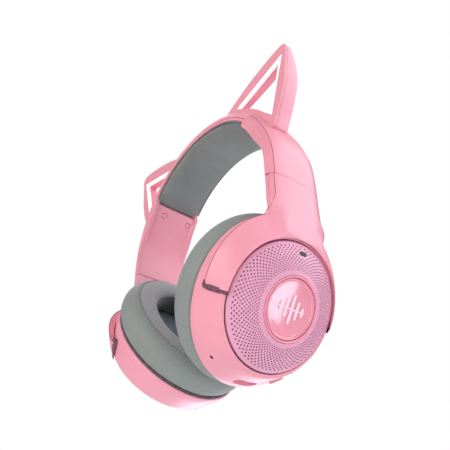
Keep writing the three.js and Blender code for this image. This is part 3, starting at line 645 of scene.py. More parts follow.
def dress(obj, body, material, *nodes):
    """Gives a piece its material and its body, and hides the CAD nodes that it stands for."""
    if not obj.data.materials:
        obj.data.materials.append(MATERIALS[material])
    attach(obj, body)
    if "leatherette" not in material and "ear_shell" not in obj.name:
        crisp(obj)
    if nodes:
        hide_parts(*nodes)
    return obj


def both(left, part, body, material, *nodes):
    """Dresses a left piece and its mirrored copy; node and body names are given without their side."""
    right = mirrored(left, "right_" + part)
    for side, obj in (("left", left), ("right", right)):
        own_body = body if body == "headband" else side + "_" + body
        dress(obj, own_body, material, *[side + "_" + node for node in nodes])
    return left, right


# ---- headband -----------------------------------------------------------------------------------


def arch_share(degrees):
    """0 on the arms and 1 on the arch, where the band's section has changed over."""
    return smooth((min(degrees, 180 - degrees) + 6) / 30)


def band_point(degrees, r, y):
    """A point of the band. Below 0 and over 180 each degree is a millimetre of straight arm."""
    if degrees < 0:
        return Vector((r, y, ARCH_Z + degrees))
    if degrees > 180:
        return Vector((-r, y, ARCH_Z - (degrees - 180)))
    turn = math.radians(degrees)
    return Vector((r * math.cos(turn), y, ARCH_Z + r * math.sin(turn)))


def sweep(name, start, end, section):
    """A solid along the band, from its section at each place."""
    count = max(2, round((end - start) / BAND_STEP))
    stops = [mix(start, end, i / count) for i in range(count + 1)]
    rows = [[band_point(t, r, y) for r, y in section(arch_share(t), t)] for t in stops]
    return make(name, *loft(rows))


def mirrored_section(half, *middle):
    """A closed section from its half at +y: the half, the points in the middle, and the other half."""
    return [*half, *middle, *[(r, -y) for r, y in reversed(half)]]


def edge_line(w):
    """Radius and half width of the line where the crown turns into the band's side."""
    return mix(*EDGE_R, w), mix(*EDGE_Y, w)


def crown_line(w):
    """The shell's outer surface from its middle to its edge, at an arch share."""
    points = [(ARCH_R, 0, 0), (mix(80.3, 80.0, w), 7, 0), (mix(79.6, 78.6, w), mix(13, 14, w), 0),
              (*edge_line(w), 0), (mix(76.6, 74.2, w), BAND_HALF, 0)]
    return [(p.x, p.y) for p in spline(points, 4)]


def shell_section(w, _):
    split = mix(SPLIT_ARM_R, SPLIT_ARCH_R, w) + SEAM
    half = [*crown_line(w)[1:], (split, BAND_HALF), (split, BAND_HALF - WALL),
            (mix(76.2, 74.4, w), BAND_HALF - WALL - 0.1), (mix(77.6, 76.7, w), mix(13, 14, w)),
            (mix(78.4, 78.1, w), 7)]
    return [(ARCH_R, 0), *mirrored_section(half, (78.5, 0))]


def cheek_rise(degrees):
    """How far the cover's edges stand up beside its inner face, like two low rails."""
    return LIP_RISE * smooth((degrees - 2) / 16)


def cover_lip(degrees):
    """The rails' own height: they end short of the pad, where the cheeks go on."""
    return cheek_rise(degrees) * (1 - smooth((degrees - COVER_END + 6) / 4))


def cover_section(w, degrees):
    inside = mix(COVER_R, COVER_END_R, w)
    rise = cover_lip(degrees)
    lip = inside - rise
    split = mix(SPLIT_ARM_R, SPLIT_ARCH_R, w)
    half = [(inside, 12), (inside, BAND_HALF - 4.4), (inside - 0.15 * rise, BAND_HALF - 3.8),
            (inside - 0.85 * rise, BAND_HALF - 2.9), (lip, BAND_HALF - 2.2), (lip + 0.1, BAND_HALF - 1.3),
            (lip + 0.55, BAND_HALF - 0.5), (lip + 1.3, BAND_HALF - 0.06), (lip + 2, BAND_HALF),
            (split, BAND_HALF), (split, BAND_HALF - WALL), (inside + WALL, BAND_HALF - WALL - 0.2),
            (inside + WALL, 12)]
    return mirrored_section(half)


def carrier_section(*_):
    half = [(69.7, BAND_HALF), (SPLIT_ARCH_R, BAND_HALF), (SPLIT_ARCH_R, 18), (73.8, 17.6), (73.8, 0)]
    under = [(72.3, 0), (72.3, 16.5), (69.7, 17)]
    upper = mirrored_section(half[:-1], half[-1])
    lower = [(r, -y) for r, y in reversed(under[1:])]
    return [*upper, *lower, *under]


def on_cover(y):
    """The place of a cover screw, with +z into the band."""
    face = mix(COVER_R, COVER_END_R, arch_share(SCREW_ANGLE))
    turn = Matrix.Rotation(math.radians(90 - SCREW_ANGLE), 4, "Y")
    at = Matrix.Translation(band_point(SCREW_ANGLE, face, y) * MM)
    return at @ turn @ Matrix.Diagonal((MM, MM, MM, 1))


def screw_cap(name, y):
    """A round cap with a softly domed face and a rim, over a cover screw."""
    profile = [(0, -0.12), (1.2, -0.1), (1.75, 0.0), (SCREW_CAP_R - 0.12, 0.06), (SCREW_CAP_R, 0.25),
               (SCREW_CAP_R, SCREW_DEPTH), (0, SCREW_DEPTH)]
    return shaded(make(name, *turned(profile, 40), on_cover(y)))


def screw_pocket(y):
    r, low, high = SCREW_CAP_R + SCREW_ROOM, -2, SCREW_DEPTH + 0.05
    return make("pocket", *turned([(0, low), (r, low), (r, high), (0, high)], 40), on_cover(y))


def cover_cheek(side):
    """The raised strip along a cover's side; its upper end is a rounded tongue beside the pad."""
    rows = []
    start, end = ARM_END_Z - ARCH_Z, COVER_END + CHEEK_BEYOND
    stops = [mix(start, COVER_END - 5, i / 24) for i in range(24)]
    stops += [mix(COVER_END - 5, end, math.sin(math.pi / 2 * i / 24)) for i in range(25)]
    y0, y1 = side * (BAND_HALF - 2.4), side * (BAND_HALF + 0.3)
    for angle in stops:
        w = arch_share(angle)
        low = mix(COVER_R, COVER_END_R, w) - cheek_rise(angle) + 0.25
        high = mix(*CHEEK_TOP_R, w)
        middle, radius = (low + high) / 2, (high - low) / 2
        to_end = math.radians(end - angle) * middle
        close = math.sqrt(max(0.0004, 1 - max(0.0, 1 - to_end / radius) ** 2))
        bottom, top = middle - radius * close, middle + radius * close
        soft = min(0.5, radius * close * 0.4)
        section = [(bottom + soft, 0), (bottom, 0.35), (bottom, 0.8), (bottom + 0.4 * soft, 0.95),
                   (bottom + 1.6 * soft, 1), (top - soft * 0.7, 1), (top, 0.92), (top, 0)]
        rows.append([band_point(angle, r, mix(y0, y1, share)) for r, share in section])
    return shaded(make("cheek", *loft(rows)), 50)


def edge_seam(side):
    """The parting line between the crown and the edge strip, as a dark cord of painted shade."""
    path = []
    for angle in between(ARM_END_Z - ARCH_Z, COVER_END):
        r, y = edge_line(arch_share(angle))
        path.append(band_point(angle, r, side * y))
    return make("seam_shade", *tube(path, CORD_R))


def on_edge_strip(middle):
    """True for the faces of the shell's edges beside the arm covers, darkened as painted shade."""
    degrees = math.degrees(math.atan2(middle.z - ARCH_Z, abs(middle.x)))
    return degrees < COVER_END and abs(middle.y) > edge_line(arch_share(degrees))[1] + 0.1


def build_headband():
    arm = ARM_END_Z - ARCH_Z
    shell = bevelled(sweep("headband_shell", arm, 180 - arm, shell_section), 0.35)
    # the shell's edge strips take the darker inner pink as painted shade
    painted(shell, "shell_pink", "inner_pink", on_edge_strip)
    dress(shell, "headband", "shell_pink", "headband_outer_shell")
    ends = (COVER_END + 0.2, 180 - COVER_END - 0.2)
    carrier = bevelled(sweep("headband_tray", *ends, carrier_section), 0.25)
    dress(carrier, "headband", "inner_pink", "headband_pad_carrier")
    cover = bevelled(sweep("left_cover", arm, COVER_END - 0.15, cover_section), 0.3)
    cover = cut(cover, *[screw_pocket(y) for y in SCREW_Y])
    cover = joined("left_inner_cover", cover, cover_cheek(-1), cover_cheek(1))
    both(cover, "inner_cover", "headband", "inner_pink", "arm_cover")
    seams = joined("left_edge_seam", edge_seam(-1), edge_seam(1))
    both(seams, "edge_seam", "headband", "seam_shade")
    for y, place in zip(SCREW_Y, ("front", "rear")):
        cap = screw_cap("left_screw_cap_" + place, y)
        both(cap, "screw_cap_" + place, "headband", "inner_pink", "cover_screw_" + place)


# ---- soft pieces --------------------------------------------------------------------------------


def blown_up(obj, pressure, cap):
    """Blows a closed mesh up as cloth, and lets no point move further than the cap."""
    start = [v.co.copy() for v in obj.data.vertices]
    simulated = modifier(obj, "Cloth", "CLOTH")
    settings = {**CLOTH, "use_pressure": True, "uniform_pressure_force": pressure}
    for key, value in settings.items():
        setattr(simulated.settings, key, value)
    simulated.settings.effector_weights.gravity = 0
    simulated.point_cache.frame_start = 1
    simulated.point_cache.frame_end = CLOTH_STEPS
    for step in range(1, CLOTH_STEPS + 1):
        bpy.context.scene.frame_set(step)
    applied(obj)
    bpy.context.scene.frame_set(1)
    for vertex, before in zip(obj.data.vertices, start):
        move = vertex.co - before
        if move.length > cap * MM:
            vertex.co = before + move.normalized() * cap * MM


def inflated(obj, voxel, pressure, cap):
    """Gives a closed mesh even faces, blows it up and smooths it."""
    modifier(obj, "Remesh", "REMESH", mode="VOXEL", voxel_size=voxel * MM)
    applied(obj)
    blown_up(obj, pressure, cap)
    modifier(obj, "Smooth", "SMOOTH", factor=0.5, iterations=2)
    return applied(obj)


def cup_matrix():
    """The left cup's frame: its axes and origin in the row frame, with millimetres made metres."""
    outward = -Vector(MOUNTS["left_ear_cushion_face"]["axis"])
    rearward = Vector((0, 1, 0))
    upward = outward.cross(rearward)
    at = Vector(JOINTS["left_cup_tilt"]["pos_m"]) + outward * PIVOT_DEPTH * MM
    turn = Matrix((rearward, upward, outward)).transposed().to_4x4()
    return Matrix.Translation(at) @ turn @ Matrix.Diagonal((MM, MM, MM, 1))


CUP = cup_matrix()
CORE = (35.4, 40.2, 32.0)  # the line that runs round inside an ear cushion
CUSHION_SIDES = 96
FACE_SEAM = 112  # the seam between side and face, as an angle round the section
WELL_SEAM = 30
WELL_END = 320  # the well runs from here, over 0, to its seam
LIP_SEAM = 216
# Depth, place and width of each seam; the last one is the swelling beside the lip's seam.
SEAM_DEPTHS = ((0.7, FACE_SEAM, 7), (0.5, WELL_SEAM, 7), (0.55, LIP_SEAM, 5), (-0.3, LIP_SEAM - 9, 6))
JOIN_AT = -97  # where the cover's ends are sewn together, round the cup


def seam_dip(angle, at, width):
    """1 on a seam and 0 a width away from it."""
    gap = abs((angle - at + 180) % 360 - 180)
    return max(0.0, 1 - gap / width) ** 2


def cushion_ray(i, j):
    """The core point and direction of a column's j-th ray."""
    t = 2 * math.pi * i / AROUND
    turn = 2 * math.pi * j / CUSHION_SIDES
    core = round_point(CORE[0], CORE[1], t, -CORE[2])
    return core, round_point(1, 1, t, 0) * -math.cos(turn) + Vector((0, 0, -math.sin(turn)))


def cushion_reach(i, j, tree):
    """How far the blown-up surface lies along a ray."""
    core, ray = cushion_ray(i, j)
    hit = tree.ray_cast(CUP @ core, (CUP.to_3x3() @ ray).normalized())[0]
    return (CUP.inverted() @ hit - core).length


def evened(reach):
    """Evens the distances out over their neighbours, most of all round the cup."""
    for _ in range(EVEN_PASSES):
        before = reach
        reach = []
        for i in range(AROUND):
            near = [before[(i + k) % AROUND] for k in (-2, -1, 0, 1, 2)]
            row = [sum(column) / len(near) for column in zip(*near)]
            following = [*row[1:], row[0]]
            reach.append([0.2 * row[j - 1] + 0.6 * row[j] + 0.2 * following[j]
                          for j in range(CUSHION_SIDES)])
    return reach


def cushion_points(tree):
    """Points on the blown-up cushion, in rows round the cup, with the seams drawn in."""
    random.seed(SEED)
    puckers = [random.uniform(0.5, 1) for _ in range(AROUND)]
    reach = evened([[cushion_reach(i, j, tree) for j in range(CUSHION_SIDES)] for i in range(AROUND)])
    rows = []
    for i in range(AROUND):
        around = 360 * i / AROUND
        row = []
        for j in range(CUSHION_SIDES):
            angle = 360 * j / CUSHION_SIDES
            core, ray = cushion_ray(i, j)
            dip = sum(depth * seam_dip(angle, at, width) for depth, at, width in SEAM_DEPTHS)
            pucker = 0.13 * puckers[i] * math.cos(i * 2.4) * seam_dip(angle, FACE_SEAM, 26)
            on_side = FACE_SEAM < angle < LIP_SEAM
            join = 0.5 * seam_dip(around, JOIN_AT % 360, 2.4) if on_side else 0
            row.append(core + ray * (reach[i][j] - dip - pucker - join))
        rows.append(row)
    return rows


def paint_cushion(obj):
    """Side in imitation leather, face in knit and well in open mesh, by the angle of each column."""
    for name in ("cushion_leatherette", "cushion_face", "cushion_inner"):
        obj.data.materials.append(MATERIALS[name])
    for polygon in obj.data.polygons:
        column = min(v % CUSHION_SIDES for v in polygon.vertices)
        angle = 360 * column / CUSHION_SIDES
        inner = angle < WELL_SEAM or angle > WELL_END
        polygon.material_index = 2 if inner else 1 if angle < FACE_SEAM else 0


def stitches(name, path, length, radius, lift):
    """Short threads, each a small spindle, along a closed path of (point, normal)."""
    vertices, faces = [], []
    count = len(path)
    for i in range(0, count, 2):
        point, normal = path[i]
        ahead = (path[(i + 1) % count][0] - point).normalized()
        side = normal.cross(ahead).normalized()
        ring = []
        for share, size in ((-0.5, 0.25), (-0.3, 0.9), (0.3, 0.9), (0.5, 0.25)):
            centre = point + ahead * length * share + normal * (lift * size)
            for k in range(6):
                turn = k * math.pi / 3
                ring.append(centre + radius * size * (side * math.cos(turn) + normal * math.sin(turn)))
        base = len(vertices)
        vertices += ring
        for row in range(3):
            for k in range(6):
                a, b = base + row * 6 + k, base + row * 6 + (k + 1) % 6
                faces.append((a, b, b + 6, a + 6))
        faces.append(tuple(base + 5 - k for k in range(6)))
        faces.append(tuple(base + 18 + k for k in range(6)))
    return make(name, vertices, faces, CUP)


def build_cushions():
    grow = [-PUFF if a > 35 else WELL_PUFF for a, _, _ in CUSHION]
    start = [(a + more, b + more, d) for (a, b, d), more in zip(CUSHION, grow)]
    rough = make("cushion_start", *oval_ring(start, 96), CUP)
    inflated(rough, 2.6, 3.5, 1.5)
    rows = cushion_points(BVHTree.FromObject(rough, bpy.context.evaluated_depsgraph_get()))
    bpy.data.objects.remove(rough)
    left = make("left_ear_pad", *loft(rows, ring=True), CUP)
    paint_cushion(left)
    shaded(left, 60)
    for pad in both(left, "ear_pad", "cup", "cushion_leatherette", "ear_cushion"):
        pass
    column = round(FACE_SEAM / 360 * CUSHION_SIDES) + 2
    path = []
    for i, row in enumerate(rows):
        across = (row[column + 1] - row[column - 1]).normalized()
        along = (rows[(i + 1) % AROUND][column] - row[column]).normalized()
        path.append((row[column], along.cross(across).normalized()))
    sign = 1 if path[0][1].x > 0 else -1
    path = [(p, normal * sign) for p, normal in path]
    thread = shaded(stitches("left_ear_pad_stitches", path, 1.5, 0.16, 0.05))
    both(thread, "ear_pad_stitches", "cup", "thread")


def pad_section(_, degrees):
    """The pad's section before it is blown up; it is thinner near its two ends."""
    from_end = min(degrees - COVER_END, 180 - COVER_END - degrees)
    sag = mix(PAD_SAG, 0, smooth(from_end / PAD_SAG_OVER))
    half = [(72.0, 16.0), (69.8, 16.5), (69.3, 19.4), (68.4, 20.1), (min(67.3 + sag, 68.1), 19.4),
            (66.3 + sag * 0.9, 16.5), (PAD_R + 1.0 + sag * 0.9, 9)]
    return mirrored_section(half, (PAD_R + 0.8 + sag * 0.9, 0))


def build_pad():
    ends = (COVER_END + 0.6, 180 - COVER_END - 0.6)
    pad = sweep("headband_cushion", *ends, pad_section)
    inflated(pad, 1.6, 3.0, 0.9)
    modifier(pad, "Subdivision", "SUBSURF", levels=1)
    shaded(applied(pad))
    dress(pad, "headband", "pad_leatherette", "headband_pad")
    for side, name in ((-1, "front"), (1, "rear")):
        path = [band_point(degrees, PIPING_AT[0], side * PIPING_AT[1])
                for degrees in between(ends[0] + 3, ends[1] - 3, 150)]
        cord = shaded(make("headband_piping_" + name, *tube(path, PIPING_R)))
        dress(cord, "headband", "pad_leatherette")


# ---- cat ears -----------------------------------------------------------------------------------


def ear_back(x, z):
    """How far back an ear's closed back lies; its tip is bent forward."""
    inward = (x - EAR_BACK_FOOT[0]) * EAR_BACK_WAY[0] + (z - EAR_BACK_FOOT[1]) * EAR_BACK_WAY[1]
    bend = min(max(z - EAR_TIP_FROM_Z + EAR_TIP_BEND, 0), 2 * EAR_TIP_BEND)
    beyond = bend ** 2 / (4 * EAR_TIP_BEND) + max(0, z - EAR_TIP_FROM_Z - EAR_TIP_BEND)
    return EAR_BACK_Y - EAR_BACK_SLOPE * max(0, inward) - EAR_TIP_SLOPE * beyond


def arc_points(r, start, end, steps):
    points = [band_point(degrees, r, 0) for degrees in between(start, end, steps)]
    return [(p.x, p.z) for p in points]


def ear_outline():
    edge = [(p.x, p.y) for p in spline([(x, z, 0) for x, z in EAR_EDGE], 5)]
    return edge + arc_points(EAR_FOOT_R, *EAR_FOOT_ANGLES, 24)


def ear_v(distance):
    """Inner end, apex and outer end of a line at a distance from the opening's two upper sides."""
    apex = Vector(EAR_APEX)
    ends = [Vector(EAR_INNER_END), Vector(EAR_OUTER_END)]
    along = [(end - apex).normalized() for end in ends]
    outward = [Vector((along[0].y, -along[0].x)), Vector((-along[1].y, along[1].x))]
    corner = (outward[0] + outward[1]) / (1 + outward[0].dot(outward[1]))
    tip = apex + corner * distance
    inner, outer = [ends[k] + outward[k] * distance for k in (0, 1)]
    return inner, tip, outer


def ear_opening(distance):
    """The opening's outline, with its upper sides moved outward by a distance."""
    inner, tip, outer = ear_v(distance)
    collar = arc_points(EAR_COLLAR_R, *EAR_COLLAR_ANGLES, 12)
    soft = [mix(tip, inner, 0.02), mix(tip, outer, 0.02)]
    return [tuple(inner), tuple(soft[0]), tuple(soft[1]), tuple(outer), *collar]


def ear_plate(name, outline, hole, front, back):
    """A plate with a hole, in the XZ plane; its back may be a function of x and z."""
    loops = [outline, hole]
    flat = [Vector((x, z, 0)) for loop in loops for x, z in loop]
    triangles = tessellate_polygon([[Vector((x, z, 0)) for x, z in loop] for loop in loops])
    shaped = callable(back)
    rear = EAR_BACK_Y if shaped else back
    vertices = [(p.x, y, p.y) for y in (front, rear) for p in flat]
    count = len(flat)
    faces = [tuple(t) for t in triangles]
    faces += [tuple(i + count for i in reversed(t)) for t in triangles]
    start = 0
    for loop in loops:
        size = len(loop)
        for i in range(size):
            a, b = start + i, start + (i + 1) % size
            faces.append((a, b, b + count, a + count))
        start += size
    plate = make(name, vertices, faces)
    if shaped:
        shape_back(plate, rear, front, back)
    return plate


def shape_back(plate, rear, front, back):
    """Slices a plate finely by height and moves its flat back to the wanted depth."""
    sliced = bmesh.new()
    sliced.from_mesh(plate.data)
    for z in range(-40, 32, 2):
        parts = [*sliced.verts, *sliced.edges, *sliced.faces]
        bmesh.ops.bisect_plane(sliced, geom=parts, plane_co=(0, 0, z * MM), plane_no=(0, 0, 1))
    for vertex in sliced.verts:
        if vertex.co.y > (rear - 0.01) * MM:
            depth = back(vertex.co.x / MM, vertex.co.z / MM)
            vertex.co.y = max(depth, front + EAR_THIN) * MM
    sliced.to_mesh(plate.data)
    sliced.free()


def light_strip():
    """The V-shaped light: its face leans in towards the opening."""
    rows = []
    far, near = EAR_LIGHT_WIDTH, 0.1
    edges = [(far, EAR_FRONT_Y + 0.1), (near, EAR_FRONT_Y + EAR_LIGHT_DROP),
             (near, EAR_SPLIT_Y - 0.1), (far, EAR_SPLIT_Y - 0.1)]
    lines = [ear_v(distance) for distance, _ in edges]
    steps = 12
    for k in range(2 * steps + 1):
        row = []
        for (inner, tip, outer), (_, y) in zip(lines, edges):
            share = k / steps
            p = mix(inner, tip, share) if share <= 1 else mix(tip, outer, share - 1)
            row.append(Vector((p.x, y, p.y)))
        rows.append(row)
    return make("left_ear_light_strip", *loft(rows))


def build_ears():
    outline = ear_outline()
    front = ear_plate("left_ear_frame", outline, ear_opening(EAR_LIGHT_WIDTH + 0.2), EAR_FRONT_Y,
                      EAR_SPLIT_Y - 0.12)
    both(bevelled(front, 0.45), "ear_frame", "headband", "inner_pink", "ear_front_frame")
    cover = ear_plate("left_ear_shell", outline, ear_opening(0), EAR_SPLIT_Y + 0.06, ear_back)
    cover.data.materials.append(MATERIALS["shell_pink"])
    cover.data.materials.append(MATERIALS["inner_pink"])
    bevelled(cover, 0.8)
    inside = [Vector((x, z)) for x, z in ear_opening(0)]
    for polygon in cover.data.polygons:
        centre = polygon.center / MM
        gap = min((Vector((centre.x, centre.z)) - mix(a, b, s / 4)).length
                  for a, b in zip(inside, inside[1:] + inside[:1]) for s in range(5))
        if gap < 1.6 and abs(polygon.normal.y) < 0.7:
            polygon.material_index = 1
    both(cover, "ear_shell", "headband", "shell_pink", "ear_back_cover")
    both(bevelled(light_strip(), 0.25), "ear_light_strip", "headband", "light_diffuser", "ear_light")


# ---- cup ----------------------------------------------------------------------------------------

FINE_SHELL = spline(SHELL, 12)


def shell_radius(t, point):
    a, b = point[0], point[1]
    return 1 / math.hypot(math.cos(t) / a, math.sin(t) / b)


def shell_depth(x, y):
    """Depth at which the shell's outer surface passes through a point, or None beyond it."""
    r, t = math.hypot(x, y), math.atan2(y, x)
    before = None
    for point in FINE_SHELL:
        radius = shell_radius(t, point)
        if radius >= r:
            if before is None:
                return point[2]
            share = (r - before[0]) / (radius - before[0])
            return mix(before[1], point[2], share)
        before = (radius, point[2])
    return None


def on_shell(degrees, depth):
    """A frame on the shell's outer surface; +z points away from it, +x runs round the cup."""
    t = math.radians(degrees)
    i = next(k for k, point in enumerate(SHELL) if point[2] > depth)
    p, q = Vector(SHELL[i - 1]), Vector(SHELL[i])
    at = mix(p, q, (depth - p.z) / (q.z - p.z))
    along = Vector(((q.x - p.x) * math.cos(t), (q.y - p.y) * math.sin(t), p.z - q.z)).normalized()
    around = Vector((-at.x * math.sin(t), at.y * math.cos(t), 0)).normalized()
    normal = along.cross(around)
    if normal.dot(Vector((math.cos(t), math.sin(t), 0))) < 0:
        normal.negate()
    turn = Matrix((around, normal.cross(around), normal)).transposed().to_4x4()
    return Matrix.Translation((at.x * math.cos(t), at.y * math.sin(t), -depth)) @ turn


def cup_ring(name):
    profile = [*SHELL_LEAD, *[tuple(p) for p in FINE_SHELL], *SHELL_LIP, *SHELL_INSIDE]
    return shaded(make(name, *oval_ring(profile), CUP), 40)


def cutter(size, low, high, at):
    return make("cutter", *prism(stadium(*size), low, high), CUP @ at)


def in_mic_hole(middle):
    """True for the walls of the microphone's hole, darkened as painted shade."""
    at = on_shell(*MIC).inverted() @ CUP.inverted() @ (middle * MM)
    return abs(at.x) < 1.3 and abs(at.y) < 0.85 and at.z < -0.1


def cup_shell(name, is_left):
    ring = cup_ring(name)
    if not is_left:
        return ring
    at = on_shell(*PORT)
    combined(ring, "UNION", cutter([side + PORT_WALL for side in PORT_SIZE], -3.6, -0.9, at))
    tools = [cutter(PORT_SIZE, -2.2, 4, at), cutter(PORT_OPENING, -8, 2, at)]
    tools.append(cutter(MIC_SIZE, -6, 2, on_shell(*MIC)))
    for degrees, length in BUTTONS.values():
        place = on_shell(degrees, BUTTON_DEPTH)
        tools.append(cutter((length + 0.7, BUTTON_WIDTH + 0.7), -6, 3, place))
    # the microphone hole's walls take a dark colour as painted shade
    return painted(cut(ring, *tools), "shell_pink", "painted_shade", in_mic_hole)


def dome(r):
    """Height of the grille at a radius."""
    for (r0, z0), (r1, z1) in zip(GRILLE_DOME, GRILLE_DOME[1:]):
        if r <= r1:
            return mix(z0, z1, (r - r0) / (r1 - r0))
    return GRILLE_DOME[-1][1]


def in_window(x, y, grow):
    half = (WINDOW_SIZE[0] - WINDOW_SIZE[1]) / 2
    nearest = max(-half, min(half, x - WINDOW[0]))
    return math.hypot(x - WINDOW[0] - nearest, y - WINDOW[1]) < WINDOW_SIZE[1] / 2 + grow


def polar(r, half_step):
    """A point of the grille's face: a radius and a count of half steps between holes."""
    t = math.pi * half_step / HOLES_PER_RING
    return Vector((r * math.cos(t), r * math.sin(t), dome(r)))


def ring_radii():
    """Borders between the rings of holes; the rings widen outward."""
    weights = [mix(0.84, 1.16, i / (HOLE_RINGS - 1)) for i in range(HOLE_RINGS)]
    total = sum(weights)
    radii = [HOLES_FROM_R]
    for weight in weights:
        radii.append(radii[-1] + (HOLES_TO_R - HOLES_FROM_R) * weight / total)
    return radii


def hole_cell(vertices, faces, inner, outer, start, is_open):
    """One cell of the grille: a patch with eight points on its border, and a round hole in it."""
    middle = (inner + outer) / 2
    border = [(inner, 0), (inner, 1), (inner, 2), (middle, 2), (outer, 2), (outer, 1), (outer, 0),
              (middle, 0)]
    base = len(vertices)
    points = [polar(r, start + k) for r, k in border]
    vertices += points
    if not is_open:
        faces.append(tuple(base + k for k in range(8)))
        return
    centre = polar(middle, start + 1)
    radius = HOLE_SHARE * (outer - inner)
    for drop in (0.0, HOLE_DEPTH):
        for point in points:
            way = (point - centre).normalized() * radius
            vertices.append(centre + way - Vector((0, 0, drop)))
    for k in range(8):
        n = (k + 1) % 8
        faces.append((base + k, base + n, base + 8 + n, base + 8 + k))
        faces.append((base + 8 + k, base + 8 + n, base + 16 + n, base + 16 + k))


def grille_rings(profile):
    """Rings of points round the grille, each at a radius and a height over its face."""
    return [[polar(r, k) + Vector((0, 0, z)) for k in range(2 * HOLES_PER_RING)] for r, z in profile]


def grille_rims(vertices, faces):
    """The panel's outer and inner rims, as rings that meet the pierced face."""
    step = 2 * HOLES_PER_RING
    for rings in (grille_rings(GRILLE_RIM), grille_rings(GRILLE_INNER_RIM)):
        base = len(vertices)
        vertices += [p for ring in rings for p in ring]
        for i in range(len(rings) - 1):
            for k in range(step):
                a, b = base + i * step + k, base + i * step + (k + 1) % step
                faces.append((a, b, b + step, a + step))


def grille(name, has_window):
    vertices, faces = [], []
    radii = ring_radii()
    for ring in range(HOLE_RINGS):
        for k in range(HOLES_PER_RING):
            start = 2 * k + ring % 2
            inner, outer = radii[ring], radii[ring + 1]
            centre = polar((inner + outer) / 2, start + 1)
            blocked = has_window and in_window(centre.x, centre.y, 0.7)
            hole_cell(vertices, faces, inner, outer, start, not blocked)
    grille_rims(vertices, faces)
    panel = make(name, vertices, faces, CUP)
    modifier(panel, "Thickness", "SOLIDIFY", thickness=GRILLE_WALL * MM, offset=-1)
    return shaded(applied(panel), 50)


def hole_shade_sheet(name):
    """A dark sheet close behind the grille's holes, painted shade that darkens them."""
    top, bottom = [[(r, -drop) for r in HOLE_SHADE_RADII] for drop in HOLE_SHADE_DROP]
    rings = grille_rings([*top, *reversed(bottom)])
    return shaded(make(name, *loft(rings, ring=True), CUP))


# A dark ring in the gap round the grille, painted shade for the gap.
def painted_shade(name):
    return shaded(make(name, *oval_ring(SHADE_RING), CUP))


def centre_cap(name):
    """A polished cap: a shallow dome inside a rounded rim."""
    face = [(p.x, p.y) for p in spline(CAP_FACE, 5)]
    profile = [(0, CAP_FACE[0][1]), *face, *CAP_RIM, (CAP_RIM[-1][0], CAP_BOTTOM), (0, CAP_BOTTOM)]
    return shaded(make(name, *turned(profile), CUP), 50)


def trim_ring(name):
    return shaded(make(name, *turned(TRIM), CUP), 50)


def emblem(name):
    """A sound wave: round-ended bars of different heights on a thin line."""
    solids = [make("line", *prism(stadium(*EMBLEM_LINE), 7.2, 7.9), CUP)]
    for x, height in EMBLEM_BARS:
        outline = [(x + across, along) for along, across in stadium(height, BAR_WIDTH)]
        solids.append(make("bar", *prism(outline, 7.3, 8.05), CUP))
    return bevelled(joined(name, *solids), 0.15)


def rounded_prism(name, size, low, high, edge, matrix):
    return bevelled(make(name, *prism(stadium(*size), low, high), matrix), edge)


def bar_mark(place):
    return rounded_prism("mark", BUTTON_MARK, 1, BUTTON_PROUD + 0.14, 0.1, place)


def build_buttons():
    """Each with a raised mark that a finger can tell: a dot, a plus or a minus."""
    for name, (degrees, length) in BUTTONS.items():
        place = CUP @ on_shell(degrees, BUTTON_DEPTH)
        key = rounded_prism(name + "_key", (length, BUTTON_WIDTH), -2.4, BUTTON_PROUD, 0.5, place)
        marks = [bar_mark(place @ Matrix.Rotation(turn, 4, "Z")) for turn in BUTTON_BARS[name]]
        if not marks:
            marks.append(rounded_prism("mark", BUTTON_DOT, 1, BUTTON_PROUD + 0.2, 0.15, place))
        dress(joined(name + "_cap", key, *marks), name, "inner_pink", name)


def scrim(name):
    """Speaker cloth, slightly domed, with a hem."""
    half_width, half_height, depth = SCRIM
    turns = [2 * math.pi * i / SCRIM_STEPS for i in range(SCRIM_STEPS)]
    rows = []
    for share, rise in SCRIM_PROFILE:
        rows.append([round_point(half_width * share, half_height * share, t, -depth - rise) for t in turns])
    return shaded(make(name, *loft(rows), CUP), 50)


def build_cups():
    for side, is_left in (("left", True), ("right", False)):
        body = side + "_cup"
        made = [
            (cup_shell(side + "_shell", is_left), "shell_pink", "cup_shell"),
            (grille(side + "_grille_panel", is_left), "grille_pink", "grille"),
            (centre_cap(side + "_cap"), "gloss_pink", "centre_cap"),
            (trim_ring(side + "_trim"), "gloss_pink", "cap_trim_ring"),
            (emblem(side + "_mark"), "mark_pink", "cap_emblem"),
            (scrim(side + "_scrim"), "speaker_scrim", "speaker_scrim"),
            # a dark sheet behind the holes and a dark ring round the grille, both painted shade
            (hole_shade_sheet(side + "_grille_shade_sheet"), "painted_shade", None),
            (painted_shade(side + "_grille_gasket"), "painted_shade", None),
        ]
        for obj, material, node in made:
            if not is_left:
                flipped(obj.data)
            dress(obj, body, material, *([side + "_" + node] if node else []))
    place = CUP @ Matrix.Translation((*WINDOW, 0))
    lens = rounded_prism("status_lens", WINDOW_SIZE, *WINDOW_HEIGHTS, WINDOW_EDGE, place)
    dress(lens, "left_cup", "dark_plastic", "status_window")
    build_buttons()


# ---- arm and yoke -------------------------------------------------------------------------------

OUTWARD = CUP.to_3x3().col[2].normalized()
TILT = math.atan2(-OUTWARD.z, OUTWARD.x)
CUP_X = CUP.translation.x / MM
CUP_Z = CUP.translation.z / MM
ARM_TOP = (ARM_X - CUP_X) * math.sin(TILT) + (ARM_TOP_Z + ARM_SPARE - CUP_Z) * math.cos(TILT)
ARM_FOOT = math.radians(YOKE_ARM_FROM)
FOOT_R = YOKE_OUTER + YOKE_RISE * math.sin(ARM_FOOT)
FOOT_X = FOOT_R * math.cos(ARM_FOOT)
FOOT_Y = FOOT_R * math.sin(ARM_FOOT)


def arm_depth(y, plane_x):
    """Depth, at a height up the cup, of an upright plane at plane_x."""
    return math.tan(TILT) * y - (plane_x - CUP_X) / math.cos(TILT)


